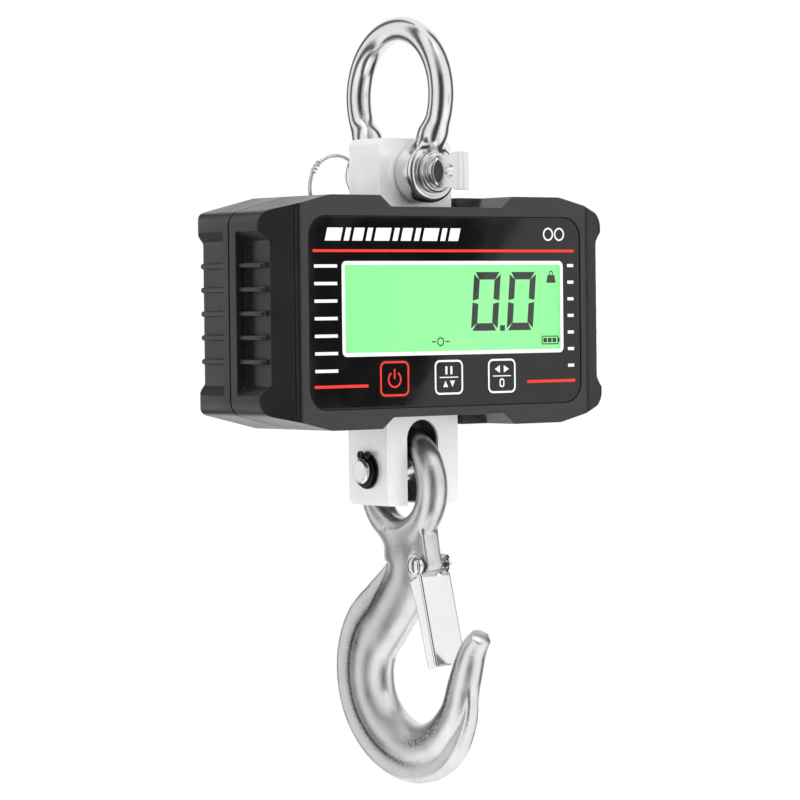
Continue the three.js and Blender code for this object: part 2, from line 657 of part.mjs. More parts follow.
function washer(side) {
  const x = [side * (CELL_HALF_X + GAP), side * (CELL_HALF_X + 1.2)].sort((a, b) => a - b);
  return rod('X', 8.6, x[0], x[1], [0, 0, CLEVIS_PIN_Z]).subtract(
    rod('X', CLEVIS_PIN_R + GAP, -40, 40, [0, 0, CLEVIS_PIN_Z]),
  );
}

// An open ring with two eyed lugs, sprung into the pin's groove.
function circlip(side) {
  const x = [side * GROOVE[0] + side * 0.1, side * GROOVE[1] - side * 0.1].sort((a, b) => a - b);
  let ring = rod('X', 7.6, x[0], x[1], [0, 0, CLEVIS_PIN_Z]);
  for (const lug of [-1, 1]) {
    ring = ring.add(rod('X', 2, x[0], x[1], [0, lug * 2.7, CLEVIS_PIN_Z + 7.9], 12));
  }
  ring = ring.subtract(rod('X', CLEVIS_PIN_R - 0.75, -40, 40, [0, 0, CLEVIS_PIN_Z]));
  return ring.subtract(block([-40, 40], [-0.9, 0.9], [CLEVIS_PIN_Z, CLEVIS_PIN_Z + 12]));
}

// ---------------------------------------------------------------- hook and latch

const HOOK_STATIONS = [
  { y: 0, z: EYE_Z - EYE_R + 3, inPlane: 12, thick: 6.6 },
  { y: -2.5, z: -113, inPlane: 16.5, thick: 7.6 },
  { y: -4.6, z: -121, inPlane: 17.8, thick: 8 },
  { y: 0.5, z: -131, inPlane: 17, thick: 8 },
  { y: 15, z: -146, inPlane: 17.8, thick: 8.2 },
  { y: 27.5, z: -159, inPlane: 19, thick: 8.5 },
  { y: 32, z: -175, inPlane: 19.5, thick: 8.6 },
  { y: 27.5, z: -192, inPlane: 18.2, thick: 8.7 },
  { y: 13, z: -206, inPlane: 16.4, thick: 8.8 },
  { y: -8, z: HOOK_BOTTOM_Z + 15, inPlane: 15, thick: 8.8 },
  { y: -27, z: -206.5, inPlane: 13.4, thick: 8.6 },
  { y: -40.5, z: -192, inPlane: 11.2, thick: 8.2 },
  { y: -46, z: -175, inPlane: 9.2, thick: 7.6 },
  { y: -51, z: -160.5, inPlane: 6.6, thick: 6.6 },
  { y: -57.5, z: -152, inPlane: 4.4, thick: 4.8 },
];

function hook() {
  const eye = new THREE.TorusGeometry(EYE_R, EYE_SECTION_R, 10, 24);
  eye.rotateY(Math.PI / 2);
  eye.translate(0, 0, EYE_Z);
  const tip = new THREE.SphereGeometry(1, 12, 8);
  tip.scale(4.9, 4.6, 4.6);
  tip.translate(0, -57.9, -152.4);
  let body = loft(HOOK_STATIONS, 32, 10).add(solid(eye)).add(solid(tip));
  body = body.subtract(rod('X', EYE_R - EYE_SECTION_R + 0.05, -12, 12, [0, 0, EYE_Z], 24));
  const pivot = [0, LATCH_PIN.x, LATCH_PIN.y];
  for (const side of [-1, 1]) {
    const x = [side * 5.2, side * 20].sort((a, b) => a - b);
    body = body.subtract(rod('X', 6.6, x[0], x[1], pivot, 16));
  }
  const neck = rounded([[-23.2, LATCH_PIN.y], [-12, LATCH_PIN.y], [-12, -107], [-20.5, -107]]);
  body = body.subtract(latchRelief()).add(prism('X', neck, -5, 5)).add(rod('X', 4.2, -5, 5, pivot, 16));
  return body.subtract(rod('X', LATCH_PIN_R + 0.3, -20, 20, pivot, 16));
}

// What the latch plate sweeps through as it opens, cut from the throat beside the rivet.
function latchRelief() {
  const along = new THREE.Vector2(Math.sin(LATCH_LEAN), -Math.cos(LATCH_LEAN));
  const outward = new THREE.Vector2(-Math.cos(LATCH_LEAN), -Math.sin(LATCH_LEAN));
  const at = (reach, depth) => {
    const p = LATCH_PIN.clone().addScaledVector(along, reach).addScaledVector(outward, depth);
    return [p.x, p.y];
  };
  const outline = rounded([at(0.5, 1.9), at(28, 1.9), at(28, 12), at(0.5, 12)]);
  const sweep = prism('X', outline, -20, 20);
  return sweep.subtract(rod('X', 4.2, -30, 30, [0, LATCH_PIN.x, LATCH_PIN.y], 20));
}


// A sheet-metal channel that straddles the hook's neck on two ears.
function latch() {
  const along = LATCH_END.clone().sub(LATCH_TOP).normalize();
  const inward = new THREE.Vector2(-along.y, along.x);
  const at = (length, depth) => LATCH_TOP.clone().addScaledVector(along, length).addScaledVector(inward, depth);
  const length = LATCH_END.distanceTo(LATCH_TOP);
  const outline = (points) => rounded(points.map(([l, d, r]) => [at(l, d).x, at(l, d).y, r]));
  const pivot = [0, LATCH_PIN.x, LATCH_PIN.y];
  let channel = prism('X', outline([
    [-2, 0], [length, 0, 1], [length, LATCH_DEPTH - 1, 2], [12, LATCH_DEPTH, 3], [0, LATCH_DEPTH + 2],
  ]), -LATCH_HALF_X, LATCH_HALF_X);
  channel = channel.add(rod('X', 5.2, -LATCH_HALF_X, LATCH_HALF_X, pivot, 20));
  const inside = LATCH_HALF_X - LATCH_SHEET;
  channel = channel.subtract(prism('X', outline([
    [0, LATCH_SHEET], [length + 5, LATCH_SHEET], [length + 5, 30], [-30, 30], [-30, -30], [0, -30],
  ]), -inside, inside));
  return channel.subtract(rod('X', LATCH_PIN_R + 0.3, -20, 20, pivot, 16));
}

function latchPin() {
  const headFrom = LATCH_HALF_X + GAP;
  const half = [[headFrom, LATCH_PIN_R], [headFrom, 4.6], [headFrom + 1, 4.3], [headFrom + 2, 2.6]];
  const mirrored = half.map(([along, radius]) => [-along, radius]).reverse();
  return turned('X', [...mirrored, ...half], [0, LATCH_PIN.x, LATCH_PIN.y], 16);
}

// Torsion spring: one and a half turns round the rivet, with a long leg along the latch.
function latchSpring() {
  const coilR = 3.4;
  const outerX = -7.7;
  const points = [[outerX + 0.3, LATCH_PIN.x - 2.4, LATCH_PIN.y - 16]];
  for (let degrees = 180; degrees <= 720; degrees += 45) {
    const angle = THREE.MathUtils.degToRad(degrees);
    const x = outerX + (1.8 * (degrees - 180)) / 540;
    points.push([x, LATCH_PIN.x + coilR * Math.cos(angle), LATCH_PIN.y + coilR * Math.sin(angle)]);
  }
  return tube(points, 0.4, 30, 5);
}

// ---------------------------------------------------------------- assembly

place('shackle_bow', shackleBow(), FINISH.steel);
place('shackle_pin', shacklePin(), FINISH.steel);
place('safety_ring', safetyRing(), FINISH.steel);

place('load_cell', loadCell(), FINISH.aluminium);
place('strain_gauge_front', strainGauge(-1), FINISH.foil);
place('strain_gauge_rear', strainGauge(1), FINISH.foil);
place('gauge_cover_front', gaugeCover(-1), FINISH.sheet);
place('gauge_cover_rear', gaugeCover(1), FINISH.sheet);
place('cell_bracket', cellBracket(), FINISH.sheet);
for (const [i, side] of [-1, 1].entries()) {
  place(`cell_screw_${i + 1}`, screw(side * 12, 35, 17.6, 6, 3.6, 1.9), FINISH.steel);
  place(`bracket_screw_${i + 1}`, screw(side * 52, 35, 9.9, 20, 2.8, 1.4), FINISH.steel);
}

place('front_shell', frontShell(), FINISH.black);
place('rear_shell', rearShell(), FINISH.black);
place('seam_gasket_left', seamGasket(-1), FINISH.rubber);
place('seam_gasket_right', seamGasket(1), FINISH.rubber);
place('upper_seal', neckSeal(1), FINISH.rubber);
place('lower_seal', neckSeal(-1), FINISH.rubber);
for (const [i, [x, z]] of corners(SHELL_SCREW).entries()) {
  place(`shell_screw_${i + 1}`, screw(x, z, 16.6, -14, 3.3, 1.6), FINISH.steel);
}

place('face_panel', facePanel(), FINISH.panel);
place('display_window', prism('Y', roundedRectangle(WINDOW, -GAP), PANEL_FRONT, PANEL_BACK), FINISH.lens);
place('display_glass', prism('Y', roundedRectangle(GLASS), -33.8, -31.8), FINISH.display);
place('backlight', prism('Y', roundedRectangle(GLASS), -31.4, -28.3), FINISH.white);
place('display_holder', displayHolder(), FINISH.white);
place('main_board', mainBoard(), FINISH.board);
for (const [i, [x, z]] of corners(BOARD_SCREW).entries()) {
  place(`board_screw_${i + 1}`, screw(x, z, -20.7, -29, 2.6, 1.1), FINISH.steel);
}
for (const [name, x] of Object.entries(KEY_X)) {
  place(name, key(x), FINISH.panel);
  place(name.replace('key', 'switch'), keySwitch(x), FINISH.blackened);
}
place('buzzer', rod('Y', 6, BOARD_Y[1] + GAP, -14, [-45, 0, -20], 24)
  .subtract(rod('Y', 1.2, -16, 0, [-45, 0, -20], 12)), FINISH.black);

const pack = { x: DOOR.x, z: DOOR.z, halfX: BAY.halfX - 1, halfZ: BAY.halfZ - 1, corner: 5 };
place('battery_pack', prism('Y', roundedRectangle(pack), -2, 19.5), FINISH.battery);
place('battery_door', batteryDoor(), FINISH.black);
place('door_gasket', doorGasket(), FINISH.rubber);
for (const [i, [x, z]] of doorScrews().entries()) {
  place(`door_screw_${i + 1}`, screw(x, z, 23.9, 16, 2.6, 1.3, 0.6), FINISH.steel);
}
place('charge_jack', chargeJack(), FINISH.blackened);
place('charge_port_cap', portCap(), FINISH.rubber);

place('clevis_pin', clevisPin(), FINISH.steel);
place('pin_washer_left', washer(-1), FINISH.blackened);
place('pin_washer_right', washer(1), FINISH.blackened);
place('circlip_left', circlip(-1), FINISH.blackened);
place('circlip_right', circlip(1), FINISH.blackened);

place('hook', hook(), FINISH.forged);
place('latch', latch(), FINISH.sheet);
place('latch_pin', latchPin(), FINISH.steel);
place('latch_spring', latchSpring(), FINISH.steel);

export default assembly;
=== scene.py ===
"""Digital crane scale: the visual model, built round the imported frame.

Shapes are drawn in millimetres about the middle of the housing, with the display facing -Y, and
new_object() puts them in the frame's metres.
"""

from math import acos, atan2, copysign, cos, hypot, pi, radians, sin, tan

import bmesh
import bpy
import numpy as np
from mathutils import Matrix, Vector


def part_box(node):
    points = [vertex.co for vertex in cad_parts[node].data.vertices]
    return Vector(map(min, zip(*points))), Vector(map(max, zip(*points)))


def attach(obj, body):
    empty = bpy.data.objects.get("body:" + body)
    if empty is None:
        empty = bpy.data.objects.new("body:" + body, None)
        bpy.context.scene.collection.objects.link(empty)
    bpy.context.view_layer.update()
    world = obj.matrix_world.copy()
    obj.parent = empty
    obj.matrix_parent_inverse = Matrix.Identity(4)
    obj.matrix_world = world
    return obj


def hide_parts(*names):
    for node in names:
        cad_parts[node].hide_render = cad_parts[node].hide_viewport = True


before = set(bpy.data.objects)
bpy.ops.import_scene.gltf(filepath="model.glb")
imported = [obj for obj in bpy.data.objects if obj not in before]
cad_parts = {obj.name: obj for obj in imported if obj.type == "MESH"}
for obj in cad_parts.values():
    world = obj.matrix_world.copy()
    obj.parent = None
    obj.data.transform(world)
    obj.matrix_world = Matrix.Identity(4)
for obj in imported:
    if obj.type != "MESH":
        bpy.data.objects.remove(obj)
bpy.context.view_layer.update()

MM = 0.001
MIDDLE = sum(corner.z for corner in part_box("front_shell")) / 2


def box_mm(node):
    """A CAD node's lowest and highest corners, in the millimetres that the shapes are drawn in."""
    shift = Vector((0, 0, MIDDLE))
    low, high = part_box(node)
    return (low - shift) / MM, (high - shift) / MM


def centre_of(node):
    """The middle (x, z) of a node's box, seen from the front."""
    low, high = box_mm(node)
    return (low.x + high.x) / 2, (low.z + high.z) / 2


# ---- sizes, read from the frame

FRONT_LOW, FRONT_HIGH = box_mm("front_shell")
REAR_LOW, REAR_HIGH = box_mm("rear_shell")
PANEL_LOW, PANEL_HIGH = box_mm("face_panel")
WINDOW_LOW, WINDOW_HIGH = box_mm("display_window")
GLASS_LOW, GLASS_HIGH = box_mm("display_glass")
CELL_LOW, CELL_HIGH = box_mm("load_cell")
PIN_LOW, PIN_HIGH = box_mm("shackle_pin")
CLEVIS_LOW, CLEVIS_HIGH = box_mm("clevis_pin")
DOOR_LOW, DOOR_HIGH = box_mm("battery_door")
CAP_LOW, CAP_HIGH = box_mm("charge_port_cap")

HALF_WIDTH = FRONT_HIGH.x
HALF_HEIGHT = FRONT_HIGH.z
FRONT_Y = FRONT_LOW.y
BACK_Y = REAR_HIGH.y
SEAM = (FRONT_HIGH.y - 0.3, REAR_LOW.y + 0.3)
FLAT_HALF_WIDTH = 69.5
FRONT_HALF_WIDTH = 85.9
SHOULDER_Z = 46.2
SIDE_CORNER = (102.3, -27.2)
SIDE_FRONT_Y = -26.6
WALL = 3.0
RECESS_X = 99.0
RECESS_HALF = 33.0
RECESS_RIM_HALF = 38.0
RIB_PITCH = 11.1
NOTCH_Z = 49.2
NOTCH_HALF = 33.5
NOTCH_RUN = 6.5
NOTCH_RISE = 5.3
SHELL_SCREW = (88.0, 38.0)

SHACKLE_PIN_Z = (PIN_LOW.z + PIN_HIGH.z) / 2
ROD_R = 6.14
BOW_R = 31.9
BOW_Z = -MIDDLE / MM + ROD_R - BOW_R
EAR_R = 14.4
EAR_Y = 19.5
EAR_BORE_R = 8.25
RING_R = 15.9
RING_Y = 31.5
RING_TILT = radians(21.8)

CLEVIS_Z = (CLEVIS_LOW.z + CLEVIS_HIGH.z) / 2
EYE_R = 22.0
EYE_SECTION_R = 7.4
EYE_Z = CLEVIS_Z + 6.0 - (EYE_R - EYE_SECTION_R) + 0.3
LATCH_PIN = (-19.0, -121.0)
LATCH_LEAN = radians(20)
LATCH_HOLE_R = 2.7
LATCH_TOP = np.array((-24.0, -126.0))
LATCH_END = np.array((-35.2, -168.0))
BOSS_R = 4.2
LATCH_FLAT_R = 6.8
LATCH_FLAT_X = 5.2


# ---- mesh helpers

def new_object(name, vertices, faces):
    mesh = bpy.data.meshes.new(name)
    mesh.from_pydata([(x * MM, y * MM, z * MM + MIDDLE) for x, y, z in vertices], [], faces)
    mesh.validate()
    obj = bpy.data.objects.new(name, mesh)
    bpy.context.scene.collection.objects.link(obj)
    outward(obj)
    return obj


def outward(obj):
    work = bmesh.new()
    work.from_mesh(obj.data)
    bmesh.ops.recalc_face_normals(work, faces=work.faces)
    work.to_mesh(obj.data)
    work.free()


def settle(obj):
    """Applies the object's modifiers to its mesh."""
    graph = bpy.context.evaluated_depsgraph_get()
    mesh = bpy.data.meshes.new_from_object(obj.evaluated_get(graph))
    obj.modifiers.clear()
    old = obj.data
    obj.data = mesh
    bpy.data.meshes.remove(old)
    return obj


def clean(obj, flat=0.4):
    """Merges doubled vertices and the flat faces that a boolean has split."""
    work = bmesh.new()
    work.from_mesh(obj.data)
    bmesh.ops.remove_doubles(work, verts=work.verts, dist=0.01 * MM)
    bmesh.ops.dissolve_limit(
        work, angle_limit=radians(flat), verts=work.verts, edges=work.edges
    )
    work.to_mesh(obj.data)
    work.free()
    return obj


def combine(target, tools, operation):
    for tool in tools:
        modifier = target.modifiers.new("combine", "BOOLEAN")
        modifier.operation = operation
        modifier.solver = "EXACT"
        modifier.object = tool
        settle(target)
        bpy.data.objects.remove(tool)
    return target


def cut(target, *tools):
    return combine(target, tools, "DIFFERENCE")


def join(target, *tools):
    return combine(target, tools, "UNION")


def common(target, *tools):
    return combine(target, tools, "INTERSECT")


def smooth(obj, angle=35):
    obj.data.shade_smooth()
    obj.data.set_sharp_from_angle(angle=radians(angle))
    weigh = obj.modifiers.new("weigh", "WEIGHTED_NORMAL")
    weigh.keep_sharp = True
    return obj


def round_edges(obj, width, segments, angle):
    modifier = obj.modifiers.new("bevel", "BEVEL")
    modifier.width = width * MM
    modifier.segments = segments
    modifier.limit_method = "ANGLE"
    modifier.angle_limit = radians(angle)
    return settle(obj)


def bevel(obj, width, segments=3, angle=30):
    clean(obj)
    round_edges(obj, width, segments, angle)
    return smooth(obj, 40)


def weld(target, angle, *parts):
    """Joins parts to a bevelled piece and shades the whole again."""
    target.modifiers.clear()
    join(target, *parts)
    return smooth(target, angle)


def mirrored(near, far):
    """The span from near to far on each side of the middle, each from low to high."""
    return (-far, -near), (near, far)


def rounded(corners, segments=8):
    """The points of a polygon whose corners (x, y, radius) are rounded by arcs."""
    points = []
    for i, corner in enumerate(corners):
        here = np.array(corner[:2], float)
        radius = corner[2] if len(corner) > 2 else 0
        if radius <= 0:
            points.append(tuple(here))
            continue
        back = np.array(corners[i - 1][:2], float) - here
        ahead = np.array(corners[(i + 1) % len(corners)][:2], float) - here
        back /= np.linalg.norm(back)
        ahead /= np.linalg.norm(ahead)
        half = acos(max(-1.0, min(1.0, float(back @ ahead)))) / 2
        middle = (back + ahead) / np.linalg.norm(back + ahead)
        centre = here + middle * radius / sin(half)
        first = here + back * radius / tan(half) - centre
        last = here + ahead * radius / tan(half) - centre
        start = atan2(first[1], first[0])
        turn = (atan2(last[1], last[0]) - start + pi) % (2 * pi) - pi
        for k in range(segments + 1):
            angle = start + turn * k / segments
            points.append((centre[0] + radius * cos(angle), centre[1] + radius * sin(angle)))
    return points


def rectangle(x, z, half_x, half_z, corner=0.0, segments=8):
    return rounded([
        (x - half_x, z - half_z, corner), (x + half_x, z - half_z, corner),
        (x + half_x, z + half_z, corner), (x - half_x, z + half_z, corner),
    ], segments)


def box_outline(node, corner, grow=0.0, segments=8):
    """The rounded outline of a node's box seen from the front, grown all round."""
    low, high = box_mm(node)
    half_x, half_z = (high.x - low.x) / 2 + grow, (high.z - low.z) / 2 + grow
    return rectangle(*centre_of(node), half_x, half_z, corner, segments)


def circle(x, y, radius, sides=48):
    turn = 2 * pi / sides
    return [(x + radius * cos(k * turn), y + radius * sin(k * turn)) for k in range(sides)]


def lift(axis, u, v, w):
    """A point of an outline (u, v) at height w along an axis."""
    return {"X": (w, u, v), "Y": (u, w, v), "Z": (u, v, w)}[axis]


def prism(axis, outline, low, high, name="tool"):
    n = len(outline)
    vertices = [lift(axis, u, v, low) for u, v in outline] + [lift(axis, u, v, high) for u, v in outline]
    faces = [tuple(range(n))[::-1], tuple(range(n, 2 * n))]
    faces += [(i, (i + 1) % n, n + (i + 1) % n, n + i) for i in range(n)]
    return new_object(name, vertices, faces)


def block(x, y, z, name="tool"):
    return prism("Z", [(x[0], y[0]), (x[1], y[0]), (x[1], y[1]), (x[0], y[1])], z[0], z[1], name)


def loft(rings, name="tool", closed=False):
    """Quads between rings of points, with a cap on each end unless the rings close on themselves."""
    n = len(rings[0])
    vertices = [point for ring in rings for point in ring]
    faces = []
    last = len(rings) if closed else len(rings) - 1
    for i in range(last):
        a, b = i * n, ((i + 1) % len(rings)) * n
        faces += [(a + k, a + (k + 1) % n, b + (k + 1) % n, b + k) for k in range(n)]
    if not closed:
        faces += [tuple(range(n))[::-1], tuple(range(len(vertices) - n, len(vertices)))]
    return new_object(name, vertices, faces)


def turned(axis, profile, centre=(0, 0, 0), sides=64, name="tool"):
    """A turned piece from (distance along the axis, radius) pairs."""
    rings = []
    for along, radius in profile:
        ring = []
        for u, v in circle(0, 0, radius, sides):
            x, y, z = lift(axis, u, v, along)
            ring.append((x + centre[0], y + centre[1], z + centre[2]))
        rings.append(ring)
    return loft(rings, name)


def fillet_profile(profile, radius, segments=4):
    """Rounds the inner corners of an open profile, leaving its two ends where they are."""
    out = [profile[0]]
    for i in range(1, len(profile) - 1):
        before, here, after = (np.array(profile[k], float) for k in (i - 1, i, i + 1))
        size = min(radius, 0.45 * np.linalg.norm(before - here), 0.45 * np.linalg.norm(after - here))
        enter = here + (before - here) / np.linalg.norm(before - here) * size
        leave = here + (after - here) / np.linalg.norm(after - here) * size
        for k in range(segments + 1):
            t = k / segments
            out.append(tuple((1 - t) ** 2 * enter + 2 * t * (1 - t) * here + t ** 2 * leave))
    out.append(profile[-1])
    return out


def rod(axis, radius, low, high, centre=(0, 0, 0), sides=48, name="tool"):
    return turned(axis, [(low, radius), (high, radius)], centre, sides, name)


def wire(path, radius, sides=14, closed=False, name="tool"):
    """A round wire along points, its sections carried along without twist."""
    points = [Vector(p) for p in path]
    count = len(points)
    rings = []
    normal = None
    for i, point in enumerate(points):
        before = points[i - 1] if i or closed else point
        after = points[(i + 1) % count] if i < count - 1 or closed else point
        tangent = (after - before).normalized()
        if normal is None:
            helper = Vector((0, 1, 0)) if abs(tangent.y) < 0.9 else Vector((1, 0, 0))
            normal = tangent.cross(helper).normalized()
        normal = (normal - tangent * normal.dot(tangent)).normalized()
        side = tangent.cross(normal)
        size = radius[i] if isinstance(radius, (list, np.ndarray)) else radius
        rings.append([tuple(point + (normal * u + side * v) * size) for u, v in circle(0, 0, 1, sides)])
    return loft(rings, name, closed)


def merge(name, parts):
    """Several closed pieces in one object."""
    work = bmesh.new()
    for part in parts:
        work.from_mesh(part.data)
        bpy.data.objects.remove(part)
    mesh = bpy.data.meshes.new(name)
    work.to_mesh(mesh)
    work.free()
    obj = bpy.data.objects.new(name, mesh)
    bpy.context.scene.collection.objects.link(obj)
    return obj


# ---- smooth forgings

def smooth_min(a, b, blend):
    h = np.clip(0.5 + 0.5 * (b - a) / blend, 0, 1)
    return b + (a - b) * h - blend * h * (1 - h)


def smooth_max(a, b, blend):
    return -smooth_min(-a, -b, blend)


def rounded_box(a, b):
    """How far a point is from a box whose sides are a and b away, its corners rounded."""
    return np.minimum(np.maximum(a, b), 0) + np.hypot(np.maximum(a, 0), np.maximum(b, 0))


def beside(flat, line, tangent):
    """For points near a line: the nearest station, and how far each lies along and across it."""
    nearest = np.empty(len(flat), int)
    for start in range(0, len(flat), 8192):
        part = flat[start:start + 8192]
        nearest[start:start + 8192] = ((part[:, None, :] - line[None, :, :]) ** 2).sum(2).argmin(1)
    offset = flat - line[nearest]
    way = tangent[nearest]
    return nearest, (offset * way).sum(1), offset[:, 0] * way[:, 1] - offset[:, 1] * way[:, 0]


def set_values(mesh, name, values):
    """Stores one number for each vertex, which a material reads."""
    mesh.attributes.new(name, "FLOAT", "POINT").data.foreach_set("value", values)


def skin(rough, field, voxel, rounds=6):
    """Remeshes a rough solid evenly, then draws every vertex onto the surface where field is zero."""
    modifier = rough.modifiers.new("remesh", "REMESH")
    modifier.mode = "VOXEL"
    modifier.voxel_size = voxel * MM
    settle(rough)
    mesh = rough.data
    count = len(mesh.vertices)
    place = np.empty(count * 3)
    mesh.vertices.foreach_get("co", place)
    place = place.reshape(-1, 3)
    place[:, 2] -= MIDDLE
    place /= MM
    edges = np.empty(len(mesh.edges) * 2, int)
    mesh.edges.foreach_get("vertices", edges)
    edges = edges.reshape(-1, 2)
    links = np.bincount(edges.ravel(), minlength=count)[:, None]
    step = 0.05
    for _ in range(rounds):
        total = np.zeros_like(place)
        np.add.at(total, edges[:, 0], place[edges[:, 1]])
        np.add.at(total, edges[:, 1], place[edges[:, 0]])
        place = 0.5 * place + 0.5 * total / links
        for _ in range(3):
            value = field(place)
            slope = np.stack([
                (field(place + step * axis) - field(place - step * axis)) / (2 * step)
                for axis in np.eye(3)
            ], 1)
            move = (value / np.maximum((slope ** 2).sum(1), 0.05))[:, None] * slope
            size = np.linalg.norm(move, axis=1, keepdims=True)
            place -= move * np.minimum(1, 1.0 / np.maximum(size, 1e-9))
    place *= MM
    place[:, 2] += MIDDLE
    mesh.vertices.foreach_set("co", place.ravel())
    mesh.update()
    mesh.shade_smooth()
    return rough


def spline(stations, count):
    """A uniform Catmull-Rom curve through the rows of stations."""
    rows = np.array(stations, float)
    padded = np.vstack([2 * rows[0] - rows[1], rows, 2 * rows[-1] - rows[-2]])
    out = []
    for t in np.linspace(0, len(rows) - 1, count):
        i = min(int(t), len(rows) - 2)
        f = t - i
        a, b, c, d = padded[i:i + 4]
        out.append(0.5 * (2 * b + (c - a) * f + (2 * a - 5 * b + 4 * c - d) * f ** 2
                          + (3 * b - a - 3 * c + d) * f ** 3))
    return np.array(out)


# ---- materials

def feed(tree, node, inputs):
    """Sets each named input of a node, or links it to the output that it is given."""
    for name, value in inputs.items():
        if isinstance(value, bpy.types.NodeSocket):
            tree.links.new(value, node.inputs[name])
        else:
            node.inputs[name].default_value = value


def add_node(tree, kind, inputs, **settings):
    node = tree.nodes.new("ShaderNode" + kind)
    for name, value in settings.items():
        setattr(node, name, value)
    feed(tree, node, inputs)
    return node


def shader_of(name, color, roughness, metallic=0.0):
    material = bpy.data.materials.new(name)
    material.use_nodes = True
    tree = material.node_tree
    shader = tree.nodes["Principled BSDF"]
    feed(tree, shader, {"Base Color": (*color, 1), "Roughness": roughness, "Metallic": metallic})
    return material, tree, shader


def object_place(tree, **moved):
    """The object's own coordinates, which are metres, moved or stretched."""
    place = tree.nodes.new("ShaderNodeTexCoord").outputs["Object"]
    return add_node(tree, "Mapping", {"Vector": place, **moved}).outputs["Vector"]


def noise(tree, scale, stretch=(1, 1, 1), detail=4.0):
    place = object_place(tree, Scale=stretch)
    return add_node(tree, "TexNoise", {"Vector": place, "Scale": scale, "Detail": detail}).outputs["Fac"]


def ramp(tree, source, stops):
    node = add_node(tree, "ValToRGB", {"Fac": source})
    elements = node.color_ramp.elements
    for i, (place, color) in enumerate(stops):
        element = elements[i] if i < 2 else elements.new(place)
        element.position = place
        element.color = (*color, 1)
    return node.outputs["Color"]


def spread(tree, source, low, high, start=0.3, end=0.7):
    inputs = {"Value": source, "From Min": start, "From Max": end, "To Min": low, "To Max": high}
    return add_node(tree, "MapRange", inputs).outputs["Result"]


def vertex_value(tree, name):
    return add_node(tree, "Attribute", {}, attribute_name=name).outputs["Fac"]


def bump(tree, shader, layers):
    """Stacks bumps given as (noise, strength, height in millimetres)."""
    below = {}
    for source, strength, height in layers:
        inputs = {"Height": source, "Strength": strength, "Distance": height * MM, **below}
        below = {"Normal": add_node(tree, "Bump", inputs).outputs["Normal"]}
    feed(tree, shader, below)


def surface(name, color, roughness, metallic=0.0, tone=0.12, uneven=0.06, patch=90,
            grain=1500, depth=0.02, strength=0.3, stretch=(1, 1, 1)):
    """A material with patchy tone and roughness and a fine grain."""
    material, tree, shader = shader_of(name, color, roughness, metallic)
    dark = tuple(c * (1 - tone) for c in color)
    light = tuple(min(c * (1 + tone), 1) for c in color)
    fine = noise(tree, grain, stretch)
    feed(tree, shader, {
        "Base Color": ramp(tree, noise(tree, patch), [(0.3, dark), (0.7, light)]),
        "Roughness": spread(tree, fine, max(roughness - uneven, 0.01), roughness + uneven),
    })
    bump(tree, shader, [(fine, strength, depth)])
    return material


def moulded_plastic():
    material, tree, shader = shader_of("moulded_plastic", (0.009, 0.009, 0.0095), 0.36)
    speckle = noise(tree, 2600, detail=2)
    patches = noise(tree, 40)
    feed(tree, shader, {
        "IOR": 1.65,
        "Base Color": ramp(tree, speckle, [(0.35, (0.005, 0.005, 0.0053)), (0.68, (0.013, 0.0132, 0.0138))]),
        "Roughness": spread(tree, patches, 0.30, 0.40),
    })
    bump(tree, shader, [(speckle, 0.35, 0.03), (patches, 0.08, 0.1)])
    return material


def gloss_panel():
    material, tree, shader = shader_of("gloss_panel", (0.004, 0.004, 0.0045), 0.06)
    film = noise(tree, 60, detail=3)
    feed(tree, shader, {
        "IOR": 1.5,
        "Base Color": ramp(tree, film, [(0.3, (0.0035, 0.0035, 0.004)), (0.7, (0.006, 0.006, 0.0065))]),
        "Roughness": spread(tree, film, 0.03, 0.08),
    })
    bump(tree, shader, [(film, 0.04, 0.02)])
    return material


def clear_lens():
    material, tree, shader = shader_of("clear_lens", (1, 1, 1), 0.03)
    film = spread(tree, noise(tree, 70, detail=3), 0.0, 0.03)
    feed(tree, shader, {"IOR": 1.3, "Transmission Weight": 1.0, "Roughness": film})
    return material


def lit_display():
    """A backlit panel, a little brighter towards its middle, with a fine cell pattern."""
    material, tree, shader = shader_of("lit_display", (0.02, 0.10, 0.03), 0.35)
    centred = object_place(tree, Location=(-0.004, 0, -MIDDLE - 0.002))
    away = add_node(tree, "VectorMath", {0: centred}, operation="LENGTH").outputs["Value"]
    glow = spread(tree, away, 0.0, 1.0, 0.0, 0.1)
    feed(tree, shader, {
        "Emission Color": ramp(tree, glow, [(0.0, (0.36, 1.0, 0.40)), (1.0, (0.25, 0.92, 0.30))]),
        "Emission Strength": 0.95,
        "Roughness": spread(tree, noise(tree, 4000, detail=1), 0.3, 0.42),
    })
    return material


def galvanised():
    """A hot-dip galvanised forging: bright metal, grainy, with speckled near-black streaks of painted shade
    along its step, darker inside its point, and wear at its neck.
    """
    material, tree, shader = shader_of("galvanised", (0.6, 0.6, 0.6), 0.34, 1.0)
    grain = noise(tree, 1000, detail=5)
    clouds = noise(tree, 60, detail=5)
    tone = ramp(tree, clouds, [
        (0.3, (0.62, 0.62, 0.625)), (0.5, (0.74, 0.74, 0.745)), (0.7, (0.84, 0.84, 0.84)),
    ])
    flecks = spread(tree, grain, 0.35, 1.0, 0.35, 0.62)
    # The hook's vertex mask blends the colour towards near-black in speckles: painted shade along the step of
    # the forging, darker inside the point, and wear at the neck below the eye.
    speckle = add_node(tree, "Math", {0: vertex_value(tree, "shade_and_wear"), 1: flecks}, operation="MULTIPLY")
    mixed = add_node(tree, "Mix", {
        "Factor": speckle.outputs["Value"], "A": tone, "B": (0.05, 0.05, 0.052, 1),
    }, data_type="RGBA")
    feed(tree, shader, {
        "Base Color": mixed.outputs["Result"],
        "Roughness": spread(tree, clouds, 0.26, 0.42),
    })
    bump(tree, shader, [(clouds, 0.25, 0.6), (grain, 0.7, 0.16)])
    return material


